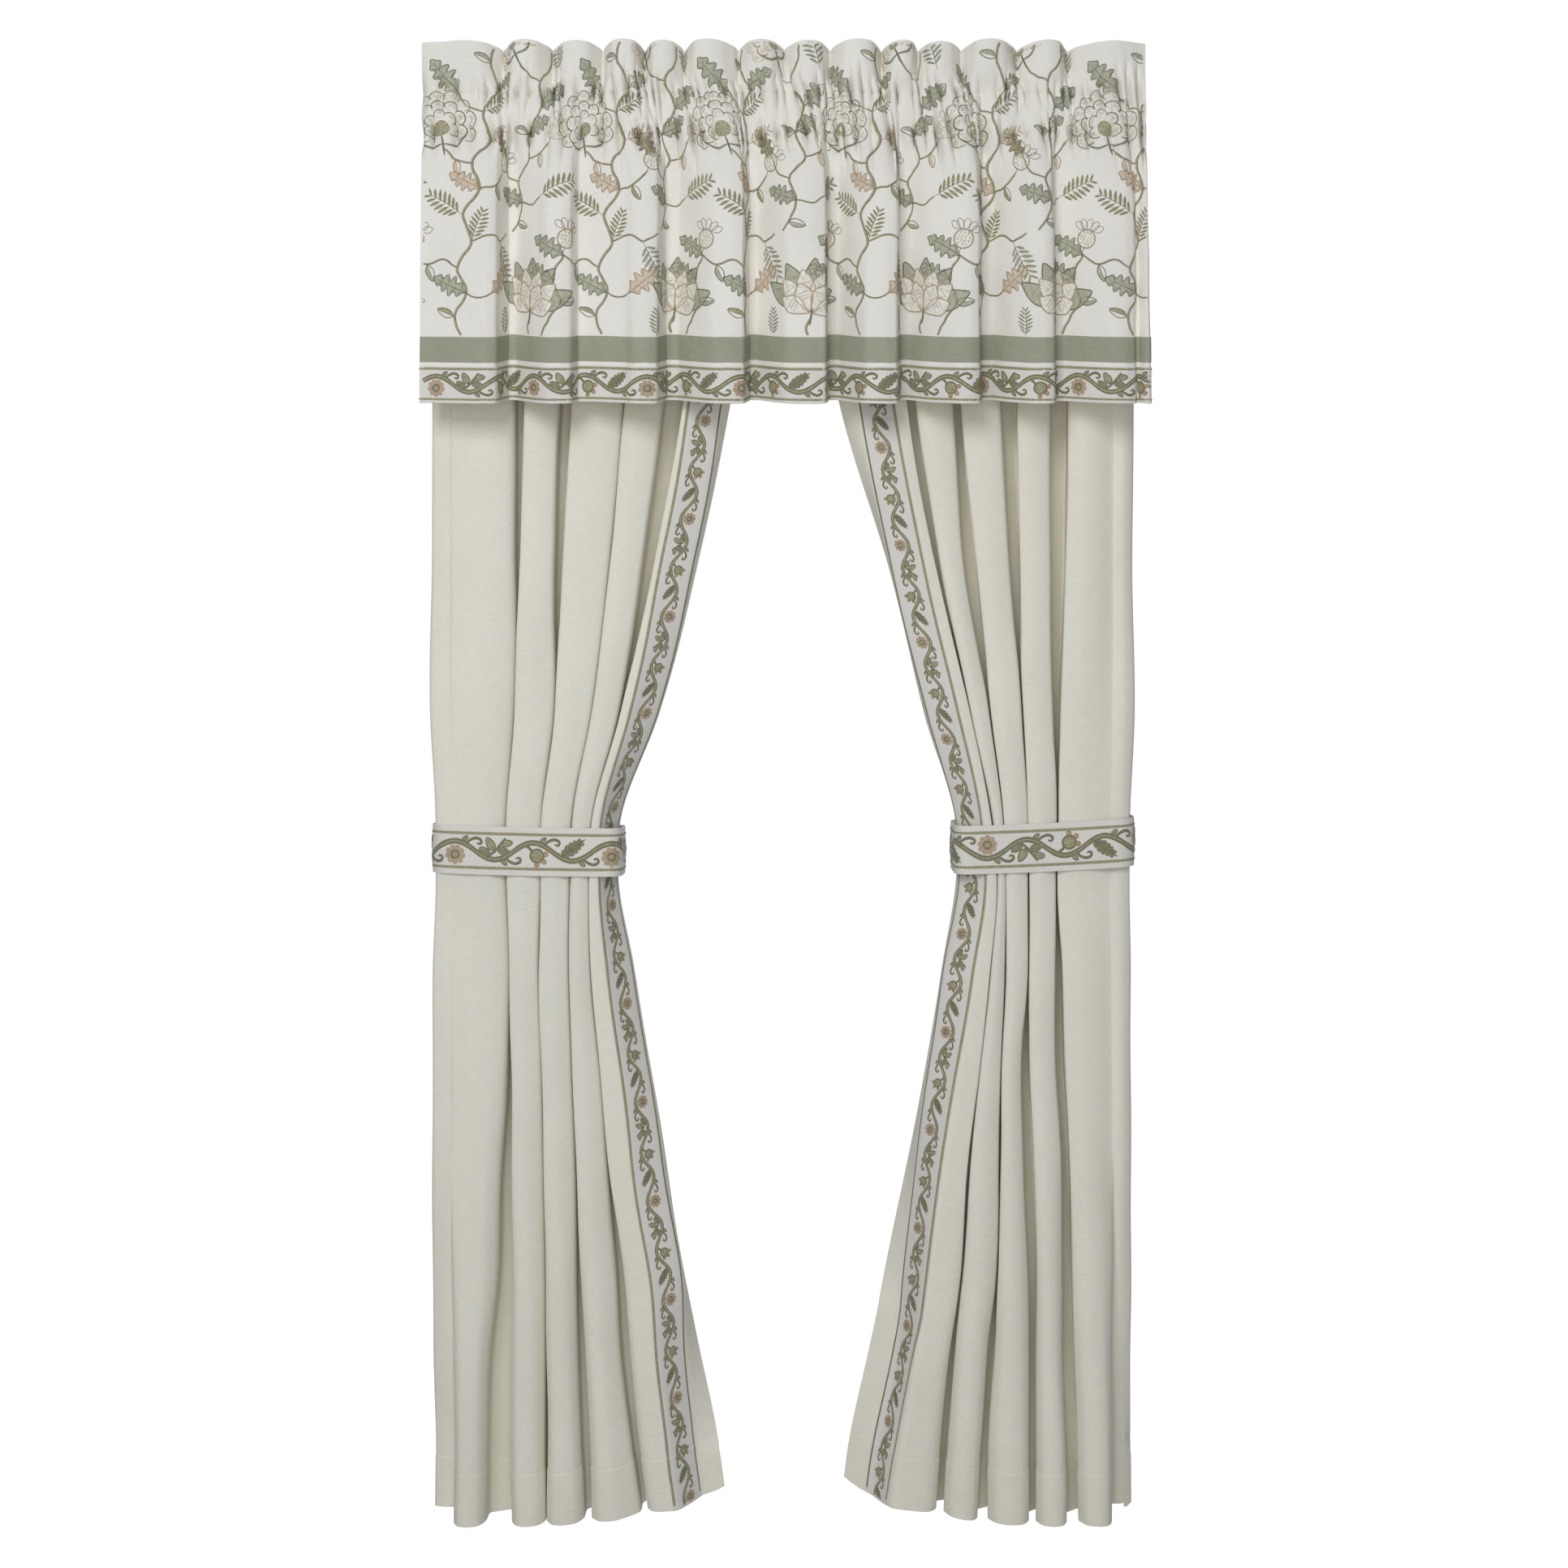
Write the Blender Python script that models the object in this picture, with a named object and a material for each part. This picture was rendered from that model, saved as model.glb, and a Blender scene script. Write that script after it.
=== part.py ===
"""A ruffled valance over a pair of curtain panels, each swept back by a tieback.

Frame: origin on the valance's rod line at mid width, +X to the right, +Y to the
window, +Z up. Every cloth is a closed sheet whose folds come from the tables below.
"""
import math

import bpy
import numpy as np

MM = 0.001

# Driving dimensions, in metres
PANEL_LENGTH = 2.136          # an 84 in drop, measured along the threads
PANEL_FLAT_WIDTH = 1.050      # cloth across one panel, which sets how deep its folds go
PANEL_HEAD = 0.100            # the panels' heads above the rod line
PANEL_DEPTH_PLACE = 0.076     # middle of the panels' folds behind the valance's rod
HEADER_DIP = 0.008            # how much lower the header lies at the back of a fold
HEADER_FOOT = 0.040           # the header dips only above this height
SHEET = 0.002                 # cloth thickness
DOUBLED = 0.003               # thickness where the valance is folded over
TRIM = 0.001                  # thickness of the sewn-on bands
TRIM_GAP = 0.0004             # between a sewn-on band and its cloth
MARGIN = 0.038                # plain cloth outside a panel's border
BORDER = 0.053                # width of a panel's border
LEAST_LEAN = 0.55             # limits how far a sharp bend lengthens a normal
BACK_LAP = 0.008              # how far a fold's foot spreads behind its face
CROWN = 0.007                 # how much a fold's face is arched
LAP_SHARE = 0.2               # on a narrow fold, the lap and the arch are this share of it
LEAD_SETBACK = 0.003          # how far the leading fold's shoulder lies behind its face
ROUNDING_SHARE = 0.36         # a rounding takes no more than this share of a segment
FRONT_ROUNDING = (0.013, 2)   # radius and steps of a fold's shoulders
FOOT_ROUNDING = (0.007, 1)    # of its feet
BORDER_ROUNDING = (0.008, 2)  # and of the turns at a border's two sides
TIE_HEIGHT = 0.070
TIE_SHEET = 0.002
TIE_CLEARANCE = 0.0062        # from the gathered cloth to the middle of the tie
TIE_LEVEL = -1.055            # height at which the ties gather the panels
HELD_REACH = 0.170            # how far above and below a tie its pull is felt
OUTER_CURL = 0.018            # how far a tie rolls a panel's outer edge forward

# Front view places in millimetres from the middle line, a row for each height.
# Each fold has a left and a right shoulder; the last fold carries the border.
FOLD_COLUMNS = ("height", "outer", "left1", "right1", "left2", "right2", "left3",
                "right3", "left4", "right4", "lead", "border_in", "border_out", "edge")
LEFT_PANEL = (
    (100, -512, -484, -385, -370, -305, -290, -212, -206, -132, -108, -86, -34, -7),
    (-40, -514, -483, -386, -371, -309, -293, -215, -210, -139, -114, -96, -44, -15),
    (-416, -519, -481, -392, -377, -327, -309, -235, -231, -177, -147, -139, -89, -80),
    (-629, -519, -481, -392, -383, -334, -321, -254, -250, -204, -186, -176, -126, -124),
    (-859, -518, -480, -394, -390, -336, -332, -282, -278, -242, -236, -225, -186, -186),
    (-1019, -504, -475, -405, -401, -354, -350, -310, -306, -278, -274, -266, -246, -251),
    (-1094, -504, -475, -405, -401, -355, -351, -312, -308, -284, -280, -268, -246, -252),
    (-1235, -515, -479, -401, -397, -358, -354, -314, -310, -282, -278, -257, -222, -221),
    (-1361, -517, -479, -403, -395, -354, -350, -310, -306, -271, -266, -239, -200, -200),
    (-1511, -518, -479, -411, -394, -351, -347, -306, -300, -259, -253, -221, -176, -175),
    (-1682, -519, -481, -418, -393, -349, -345, -303, -294, -244, -231, -195, -148, -147),
    (-1784, -519, -480, -428, -396, -349, -344, -301, -289, -238, -223, -185, -143, -126),
    (-1934, -519, -480, -434, -398, -350, -343, -296, -281, -221, -209, -165, -128, -92),
    (-2060, -519, -481, -434, -396, -349, -343, -290, -279, -203, -192, -150, -112, -77),
)
# The right panel is given as seen in a mirror, so that both share one rule.
RIGHT_PANEL = (
    (100, -513, -484, -410, -386, -330, -306, -236, -226, -160, -142, -112, -58, -7),
    (-40, -515, -482, -410, -386, -332, -308, -240, -230, -166, -150, -122, -68, -18),
    (-416, -518, -479, -412, -387, -338, -315, -257, -247, -192, -179, -160, -108, -82),
    (-629, -517, -478, -409, -387, -342, -327, -278, -260, -225, -216, -202, -153, -150),
    (-859, -515, -477, -401, -390, -348, -344, -302, -297, -273, -268, -255, -211, -208),
    (-1019, -502, -473, -399, -395, -356, -352, -320, -316, -301, -297, -284, -257, -263),
    (-1088, -502, -471, -397, -393, -357, -353, -323, -319, -307, -303, -290, -259, -265),
    (-1235, -510, -475, -404, -394, -357, -352, -323, -319, -301, -297, -276, -233, -231),
    (-1361, -513, -476, -407, -394, -356, -345, -318, -314, -287, -283, -254, -215, -213),
    (-1511, -514, -477, -415, -403, -363, -347, -316, -312, -272, -266, -230, -195, -184),
    (-1682, -517, -478, -419, -405, -368, -356, -312, -308, -260, -254, -206, -175, -147),
    (-1784, -517, -478, -422, -405, -367, -357, -307, -297, -250, -241, -192, -167, -125),
    (-1934, -518, -479, -428, -410, -368, -357, -298, -287, -238, -227, -167, -140, -92),
    (-2060, -518, -478, -432, -412, -369, -357, -298, -281, -232, -219, -148, -126, -79),
)
# Rows of the panels' sheets, as lengths of thread below the head
PANEL_ROWS = (0.0, 0.20, 0.40, 0.60, 0.77, 0.91, 1.02, 1.11, 1.20, 1.31,
              1.44, 1.60, 1.77, 1.90, 2.03, PANEL_LENGTH)

# The header's lobes: left valley, right valley, how far forward (1 is full depth)
LOBE_COLUMNS = ("left", "right", "forward")
HEADER_LOBES = (
    (-516, -403, 0.80), (-403, -332, 1.00), (-332, -260, 0.92), (-260, -200, 1.05),
    (-200, -144, 0.96), (-144, -66, 1.04), (-66, 0, 1.00), (0, 66, 0.94),
    (66, 140, 1.06), (140, 192, 0.97), (192, 254, 0.86), (254, 334, 1.05),
    (334, 407, 0.98), (407, 516, 0.90),
)
HEADER_DEPTH = 0.060
# The skirt's folds: left and right edge of the face, how far forward it stands,
# and how deep the valley to its right goes (1 is the full depth)
SKIRT_COLUMNS = ("left", "right", "forward", "valley")
SKIRT_FOLDS = (
    (-516, -476, 0.15, 0.95), (-470, -392, 1.00, 0.95), (-356, -294, 0.96, 0.22),
    (-286, -258, 0.86, 0.20), (-246, -174, 0.97, 1.00), (-121, -54, 1.02, 0.90),
    (-12, 60, 1.00, 0.95), (100, 150, 0.95, 0.90), (202, 262, 1.00, 0.90),
    (320, 380, 1.04, 1.00), (397, 484, 0.98, 0.95), (490, 516, 0.15, 0.00),
)
SKIRT_DEPTH = 0.046
VALANCE_COLUMNS_ACROSS = 97
# Rows of the valance: height, share of the skirt's folds, share of full depth,
# how far the sheet stands in front of its middle, and thickness
VALANCE_ROW_COLUMNS = ("height", "skirt", "depth", "forward", "thickness")
VALANCE_ROWS = (
    (99, 0.00, 1.00, 0, DOUBLED),
    (72, 0.00, 0.97, 1, DOUBLED),
    (47, 0.10, 0.66, 0, DOUBLED),
    (30, 0.35, 0.26, -2, DOUBLED),
    (-2, 0.55, 0.30, 4, DOUBLED),
    (-34, 0.75, 0.26, 0, DOUBLED),
    (-64, 0.90, 0.55, 4, SHEET),
    (-125, 1.00, 0.86, 8, SHEET),
    (-225, 1.00, 1.00, 12, SHEET),
    (-330, 1.00, 1.04, 15, SHEET),
    (-368, 1.00, 1.06, 16, SHEET),
    (-372, 1.00, 1.06, 16, SHEET),
    (-424, 1.00, 1.08, 17, SHEET),
)
BAND_ROWS = (9, 10)           # the band lies between these rows of the valance
BORDER_ROWS = (11, 12)        # and the border between these

# The ties: middle height, rise toward the wall side, and lift of the run behind
TIES = {
    "left": {"height": -1.056, "rise": 0.003, "back_lift": 0.003},
    "right": {"height": -1.050, "rise": 0.006, "back_lift": 0.008},
}
# Corner radii of a tie's ring, seen from above: beside the panel's leading edge
# at the front and back, then beside its outer edge at the back and front
TIE_CORNERS = (0.022, 0.014, 0.014, 0.028)
TIE_SAG = 0.004


def between(places, values, at):
    """Read a smooth curve through a table at one or more places."""
    places = np.asarray(places, dtype=float)
    values = np.asarray(values, dtype=float)
    order = np.argsort(places)
    places = places[order]
    values = values[order]
    slopes = np.gradient(values, places, axis=0)
    at = np.atleast_1d(np.clip(at, places[0], places[-1]))
    span = np.clip(np.searchsorted(places, at) - 1, 0, len(places) - 2)
    width = places[span + 1] - places[span]
    t = (at - places[span]) / width
    if values.ndim > 1:
        t = t[:, None]
        width = width[:, None]
    return ((2 * t**3 - 3 * t**2 + 1) * values[span] + (t**3 - 2 * t**2 + t) * width * slopes[span]
            + (3 * t**2 - 2 * t**3) * values[span + 1] + (t**3 - t**2) * width * slopes[span + 1])


def rounded(corners):
    """Round a section's corners. A corner is (across, depth, radius, steps), and
    one with no steps stays a single point."""
    points = [np.array(corners[0][:2])]
    for before, corner, after in zip(corners, corners[1:], corners[2:]):
        here = np.array(corner[:2])
        radius, steps = corner[2:]
        back = np.array(before[:2]) - here
        ahead = np.array(after[:2]) - here
        back_length = np.hypot(*back)
        ahead_length = np.hypot(*ahead)
        if steps == 0:
            points.append(here)
            continue
        start = here + back / back_length * min(radius, ROUNDING_SHARE * back_length)
        end = here + ahead / ahead_length * min(radius, ROUNDING_SHARE * ahead_length)
        for t in np.linspace(0, 1, steps + 1):
            points.append((1 - t)**2 * start + 2 * t * (1 - t) * here + t * t * end)
    points.append(np.array(corners[-1][:2]))
    return np.array(points)


def length_of(points):
    """Length of a path through points."""
    return float(np.sum(np.hypot(*np.diff(np.asarray(points)[:, :2], axis=0).T)))


def panel_corners(place, depth):
    """Corners of a panel's section at one height. Depth grows toward the window."""
    front = PANEL_DEPTH_PLACE - depth / 2
    back = PANEL_DEPTH_PLACE + depth / 2
    held = math.exp(-((place["height"] - TIE_LEVEL) / HELD_REACH)**2)
    corners = [(place["outer"], back - OUTER_CURL * held, 0.0, 1)]
    corners.append((place["left1"] + BACK_LAP, back, *FOOT_ROUNDING))
    for fold in (1, 2, 3, 4):
        left = place[f"left{fold}"]
        right = place[f"right{fold}"]
        width = right - left
        arch = min(CROWN, LAP_SHARE * width)
        corners.append((left, front + arch, *FRONT_ROUNDING))
        corners.append(((left + right) / 2, front, 0.0, 0))
        corners.append((right, front + arch, *FRONT_ROUNDING))
        following = place["lead"] if fold == 4 else place[f"left{fold + 1}"]
        next_width = width if fold == 4 else place[f"right{fold + 1}"] - following
        corners.append((right - min(BACK_LAP, LAP_SHARE * width), back, *FOOT_ROUNDING))
        corners.append((following + min(BACK_LAP, LAP_SHARE * next_width), back, *FOOT_ROUNDING))
    edge_in = place["border_in"]
    edge_out = place["border_out"]
    # The border and the margin keep their widths: what is not seen goes into depth
    turn = math.sqrt(max(BORDER**2 - (edge_out - edge_in)**2, 0.0))
    curl = math.sqrt(max(MARGIN**2 - (place["edge"] - edge_out)**2, 0.0))
    corners.append((place["lead"], front + LEAD_SETBACK, *FRONT_ROUNDING))
    corners.append((edge_in, front, *BORDER_ROUNDING))
    corners.append((edge_out, front + turn, *BORDER_ROUNDING))
    corners.append((place["edge"], front + turn + curl, 0.0, 1))
    return corners


def panel_section(place):
    """Section of a panel with the depth that uses up its flat width."""
    shallow = 0.010
    deep = 0.140
    for _ in range(30):
        depth = (shallow + deep) / 2
        if length_of(rounded(panel_corners(place, depth))) < PANEL_FLAT_WIDTH:
            shallow = depth
        else:
            deep = depth
    return rounded(panel_corners(place, depth))


def panel_grid(table, rows):
    """Middle surface of a panel: rows down the threads, columns across."""
    table = np.array(table, dtype=float) * MM
    heights = np.arange(PANEL_HEAD, -2.060, -0.010)
    places = between(table[:, 0], table, heights)
    sections = []
    for height, values in zip(heights, places):
        section = panel_section(dict(zip(FOLD_COLUMNS, values)))
        sections.append(np.column_stack([section, np.full(len(section), height)]))
    stack = np.array(sections)
    # Follow each thread down, so a slanted one ends higher
    thread = np.zeros(stack.shape[:2])
    thread[1:] = np.cumsum(np.linalg.norm(np.diff(stack, axis=0), axis=2), axis=0)
    grid = np.zeros((len(rows), stack.shape[1], 3))
    for column in range(stack.shape[1]):
        for axis in range(3):
            grid[:, column, axis] = np.interp(rows, thread[:, column], stack[:, column, axis])
    return grid


def header_corners():
    """Corners of the header's ruffle, its valleys at depth 0 and lobes at minus 1."""
    corners = []
    for row in HEADER_LOBES:
        lobe = dict(zip(LOBE_COLUMNS, row))
        left = lobe["left"] * MM
        right = lobe["right"] * MM
        width = right - left
        front = -lobe["forward"]
        corners.append((left, 0.0))
        corners.append((left + 0.20 * width, 0.55 * front))
        corners.append((left + 0.36 * width, front))
        corners.append((left + 0.62 * width, 0.96 * front))
        corners.append((left + 0.80 * width, 0.5 * front))
    corners.append((HEADER_LOBES[-1][1] * MM, 0.0))
    return corners


def skirt_corners():
    """Corners of the skirt's folds, valleys at depth 0 and faces at minus 1."""
    corners = []
    folds = [dict(zip(SKIRT_COLUMNS, row)) for row in SKIRT_FOLDS]
    for fold, following in zip(folds, folds[1:] + [None]):
        left = fold["left"] * MM
        right = fold["right"] * MM
        front = -fold["forward"]
        corners.append((left, 0.86 * front))
        corners.append(((left + right) / 2, front))
        corners.append((right, 0.86 * front))
        if following:
            gap = following["left"] * MM - right
            floor = front * (1 - fold["valley"])
            corners.append((right + 0.25 * gap, floor))
            corners.append((right + 0.75 * gap, floor))
    return corners


def wave(corners, depth, radius, columns):
    """Round a wave of the given depth and step evenly along its cloth."""
    path = rounded([(x, y * depth, radius, 4) for x, y in corners])
    along = np.concatenate([[0], np.cumsum(np.hypot(*np.diff(path, axis=0).T))])
    steps = np.linspace(0, along[-1], columns)
    return np.column_stack([np.interp(steps, along, path[:, 0]), np.interp(steps, along, path[:, 1])])


def valance_grid():
    """Middle surface of the valance, with the thickness of each row."""
    header = wave(header_corners(), HEADER_DEPTH, 0.012, VALANCE_COLUMNS_ACROSS)
    skirt = wave(skirt_corners(), SKIRT_DEPTH, 0.010, VALANCE_COLUMNS_ACROSS)
    header[:, 1] += HEADER_DEPTH / 2
    skirt[:, 1] += SKIRT_DEPTH / 2
    grid = []
    for row in VALANCE_ROWS:
        line = dict(zip(VALANCE_ROW_COLUMNS, row))
        mixed = header * (1 - line["skirt"]) + skirt * line["skirt"]
        depth = mixed[:, 1] * line["depth"] - line["forward"] * MM
        height = np.full(len(mixed), line["height"] * MM)
        if line["height"] * MM > HEADER_FOOT:
            height -= HEADER_DIP * (header[:, 1] / HEADER_DEPTH + 0.5)
        grid.append(np.column_stack([mixed[:, 0], depth, height]))
    return np.array(grid), np.array([row[4] for row in VALANCE_ROWS])


def normals_of(grid):
    """Normals of a grid of points, toward the room. They are longer at a bend, so
    that a surface set off along them stays parallel on both sides of it."""
    down = np.gradient(grid, axis=0)
    facets = np.cross((down[:, 1:] + down[:, :-1]) / 2, np.diff(grid, axis=1))
    facets /= np.linalg.norm(facets, axis=2)[:, :, None]
    before = np.concatenate([facets[:, :1], facets], axis=1)
    after = np.concatenate([facets, facets[:, -1:]], axis=1)
    middle = before + after
    middle /= np.linalg.norm(middle, axis=2)[:, :, None]
    lean = np.sum(middle * after, axis=2)[:, :, None]
    return middle / np.maximum(lean, LEAST_LEAN)


def closed_sheet(name, front, back, material):
    """Join two grids of points into one closed sheet."""
    rows, columns = front.shape[:2]
    points = np.concatenate([front.reshape(-1, 3), back.reshape(-1, 3)])

    def at(side, row, column):
        return side * rows * columns + row * columns + column

    faces = []
    for row in range(rows - 1):
        for column in range(columns - 1):
            a, b = at(0, row, column), at(0, row, column + 1)
            c, d = at(0, row + 1, column + 1), at(0, row + 1, column)
            faces += [(a, d, c), (a, c, b)]
            a, b, c, d = (value + rows * columns for value in (a, b, c, d))
            faces += [(a, c, d), (a, b, c)]
    rim = [(0, column) for column in range(columns)]
    rim += [(row, columns - 1) for row in range(1, rows)]
    rim += [(rows - 1, column) for column in range(columns - 2, -1, -1)]
    rim += [(row, 0) for row in range(rows - 2, 0, -1)]
    for here, following in zip(rim, rim[1:] + rim[:1]):
        faces.append((at(0, *here), at(0, *following), at(1, *following), at(1, *here)))
    return add_mesh(name, points, faces, material)


def closed_loop(name, inner, outer, material):
    """Join two rings of points, each rows by columns, into one closed band."""
    rows, columns = inner.shape[:2]
    points = np.concatenate([outer.reshape(-1, 3), inner.reshape(-1, 3)])
    faces = []
    for row in range(rows - 1):
        for column in range(columns):
            a = row * columns + column
            b = row * columns + (column + 1) % columns
            c, d = b + columns, a + columns
            faces += [(a, d, c), (a, c, b)]
            a, b, c, d = (value + rows * columns for value in (a, b, c, d))
            faces += [(a, c, d), (a, b, c)]
    for row in (0, rows - 1):
        for column in range(columns):
            a = row * columns + column
            b = row * columns + (column + 1) % columns
            ring = (a, b, b + rows * columns, a + rows * columns)
            faces.append(ring if row == 0 else ring[::-1])
    return add_mesh(name, points, faces, material)


def add_mesh(name, points, faces, material):
    """Make a mesh object from points and faces."""
    mesh = bpy.data.meshes.new(name)
    mesh.from_pydata([tuple(point) for point in points], [], faces)
    mesh.materials.append(material)
    mesh.shade_smooth()
    mesh.set_sharp_from_angle(angle=math.radians(50))
    piece = bpy.data.objects.new(name, mesh)
    bpy.context.scene.collection.objects.link(piece)
    return piece


def cloth_material(name, colour, roughness):
    """A plain matt cloth."""
    material = bpy.data.materials.new(name)
    material.use_nodes = True
    shader = material.node_tree.nodes["Principled BSDF"]
    shader.inputs["Base Color"].default_value = (*colour, 1.0)
    shader.inputs["Roughness"].default_value = roughness
    shader.inputs["Metallic"].default_value = 0.0
    return material


def add_sheet(name, grid, thickness, material):
    """A closed sheet on both sides of its middle surface."""
    half = normals_of(grid) * np.asarray(thickness).reshape(-1, 1, 1) / 2
    return closed_sheet(name, grid + half, grid - half, material)


def add_trim(name, grid, normals, host_thickness, material):
    """A thin band on the room side of its cloth."""
    inner = grid + normals * (host_thickness / 2 + TRIM_GAP)
    outer = grid + normals * (host_thickness / 2 + TRIM_GAP + TRIM)
    return closed_sheet(name, outer, inner, material)


def mirrored(grid):
    """A grid seen in a mirror, its columns turned to keep running left to right."""
    return (grid * np.array([-1.0, 1.0, 1.0]))[:, ::-1]


def tie_outline(panel, height):
    """Points of a ring around the gathered cloth, seen from above."""
    shares = np.linspace(0, 1, 8, endpoint=False)[:, None, None, None]
    cloth = (panel[:-1] + (panel[1:] - panel[:-1]) * shares).reshape(-1, 3)
    held = cloth[np.abs(cloth[:, 2] - height) < TIE_HEIGHT * 0.65]
    low = held[:, :2].min(axis=0) - TIE_CLEARANCE
    high = held[:, :2].max(axis=0) + TIE_CLEARANCE
    places = ((high[0], low[1]), (high[0], high[1]), (low[0], high[1]), (low[0], low[1]))
    inward = ((-1, 1), (-1, -1), (1, -1), (1, 1))
    bend_steps = 4
    arcs = []
    for quarter in range(4):
        radius = TIE_CORNERS[quarter]
        centre = np.array(places[quarter]) + np.array(inward[quarter]) * radius
        angles = (quarter - 1 + np.linspace(0, 1, bend_steps + 1)) * math.pi / 2
        arcs.append(centre + radius * np.column_stack([np.cos(angles), np.sin(angles)]))
    outline = []
    for quarter, run_steps in enumerate((2, 7, 2, 7)):
        arc = arcs[quarter]
        following = arcs[(quarter + 1) % 4]
        outline += list(arc)
        for step in range(1, run_steps):
            outline.append(arc[-1] + (following[0] - arc[-1]) * step / run_steps)
    return np.array(outline), (low + high) / 2, (high - low) / 2


def add_tie(name, panel, side, material):
    """A flat band that goes round the gathered panel."""
    tie = TIES[side]
    outline, middle, half = tie_outline(panel, tie["height"])
    ring = np.roll(outline, -1, axis=0) - np.roll(outline, 1, axis=0)
    out = np.column_stack([ring[:, 1], -ring[:, 0]])
    out /= np.linalg.norm(out, axis=1)[:, None]
    across, depth = ((outline - middle) / half).T
    lift = tie["back_lift"] * (depth + 1) / 2 - tie["rise"] * across
    lift -= TIE_SAG * (1 - across**2) * (1 - depth) / 2
    faces = {"inner": [], "outer": []}
    for share in (0.5, 0.0, -0.5):
        height = tie["height"] + lift + share * TIE_HEIGHT
        bow = 0.0012 * (1 - abs(share) * 2)
        faces["inner"].append(np.column_stack([outline + out * (bow - TIE_SHEET / 2), height]))
        faces["outer"].append(np.column_stack([outline + out * (bow + TIE_SHEET / 2), height]))
    inner = np.array(faces["inner"])
    outer = np.array(faces["outer"])
    if side == "right":
        inner = mirrored(inner)
        outer = mirrored(outer)
    return closed_loop(name, inner, outer, material)


def border_columns(grid):
    """The columns of a panel's grid that its border covers, leading edge last."""
    # Before the edge come three points around each of border_in and border_out
    return slice(grid.shape[1] - 6, grid.shape[1] - 2)


def build_panel(side, table, ivory, white):
    """One panel with its border and its tie. The right one is turned over at the end."""
    grid = panel_grid(table, PANEL_ROWS)
    add_tie(f"tieback_{side}", grid, side, white)
    border = border_columns(grid)
    normals = normals_of(grid)[:, border]
    strip = grid[:, border]
    if side == "right":
        grid, strip, normals = mirrored(grid), mirrored(strip), mirrored(normals)
    add_sheet(f"panel_{side}", grid, np.full(len(grid), SHEET), ivory)
    add_trim(f"border_{side}", strip, normals, SHEET, white)


def build_valance(ivory, white, sage):
    """The valance with its band and its border."""
    grid, thickness = valance_grid()
    add_sheet("valance", grid, thickness, ivory)
    normals = normals_of(grid)
    for name, (top, bottom), material in (("valance_band", BAND_ROWS, sage),
                                          ("valance_border", BORDER_ROWS, white)):
        add_trim(name, grid[[top, bottom]], normals[[top, bottom]], SHEET, material)


def main():
    for piece in list(bpy.data.objects):
        bpy.data.objects.remove(piece, do_unlink=True)
    ivory = cloth_material("ivory_cloth", (0.78, 0.74, 0.66), 0.92)
    off_white = cloth_material("printed_cloth", (0.80, 0.79, 0.74), 0.92)
    white = cloth_material("border_cloth", (0.72, 0.71, 0.66), 0.90)
    sage = cloth_material("sage_cloth", (0.25, 0.29, 0.19), 0.92)
    build_panel("left", LEFT_PANEL, ivory, white)
    build_panel("right", RIGHT_PANEL, ivory, white)
    build_valance(off_white, white, sage)


main()
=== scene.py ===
# A floral valance over two curtain panels, each swept back by an embroidered tie.
import math

import bmesh
import bpy
import numpy as np
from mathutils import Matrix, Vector


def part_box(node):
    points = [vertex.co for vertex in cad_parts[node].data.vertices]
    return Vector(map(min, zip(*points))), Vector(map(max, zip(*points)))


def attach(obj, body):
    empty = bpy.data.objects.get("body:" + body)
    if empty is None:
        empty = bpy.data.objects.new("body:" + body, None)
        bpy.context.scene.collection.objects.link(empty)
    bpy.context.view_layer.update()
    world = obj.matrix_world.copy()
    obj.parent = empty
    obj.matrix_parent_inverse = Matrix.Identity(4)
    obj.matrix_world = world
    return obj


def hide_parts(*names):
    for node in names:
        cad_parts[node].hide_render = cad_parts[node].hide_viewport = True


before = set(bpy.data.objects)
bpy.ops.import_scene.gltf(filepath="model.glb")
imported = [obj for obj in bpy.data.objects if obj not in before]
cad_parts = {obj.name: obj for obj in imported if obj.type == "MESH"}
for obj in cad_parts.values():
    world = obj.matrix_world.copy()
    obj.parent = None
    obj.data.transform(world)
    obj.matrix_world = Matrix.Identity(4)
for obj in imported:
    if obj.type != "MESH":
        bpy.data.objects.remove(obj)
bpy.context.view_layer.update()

mm = 0.001

# front view places in mm from the middle, a row for each height
foldColumns = ("height", "outer", "left1", "right1", "left2", "right2", "left3",
               "right3", "left4", "right4", "lead", "borderIn", "borderOut", "edge")
leftFolds = (
    (100, -512, -484, -385, -370, -305, -290, -212, -206, -132, -108, -86, -34, -7),
    (-40, -514, -483, -386, -371, -309, -293, -215, -210, -139, -114, -96, -44, -15),
    (-416, -519, -481, -392, -377, -327, -309, -235, -231, -177, -147, -139, -89, -78),
    (-629, -519, -481, -392, -383, -334, -321, -254, -250, -204, -186, -176, -126, -121),
    (-859, -519, -480, -394, -390, -336, -332, -282, -278, -242, -236, -225, -184, -182),
    (-1019, -504, -475, -405, -401, -354, -350, -310, -306, -281, -277, -268, -243, -240),
    (-1094, -504, -475, -405, -401, -355, -351, -312, -308, -284, -280, -269, -245, -242),
    (-1235, -515, -479, -401, -397, -358, -354, -314, -310, -282, -278, -257, -221, -218),
    (-1361, -517, -479, -403, -395, -354, -350, -310, -306, -271, -266, -239, -199, -196),
    (-1511, -518, -479, -411, -394, -351, -347, -306, -300, -259, -253, -221, -175, -171),
    (-1682, -519, -481, -418, -393, -349, -345, -303, -294, -244, -231, -195, -148, -143),
    (-1784, -519, -480, -428, -396, -349, -344, -301, -289, -238, -223, -185, -143, -122),
    (-1934, -519, -480, -434, -398, -350, -343, -296, -281, -221, -209, -165, -128, -90),
    (-2060, -519, -481, -434, -396, -349, -343, -290, -279, -203, -192, -150, -112, -74),
)
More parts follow.
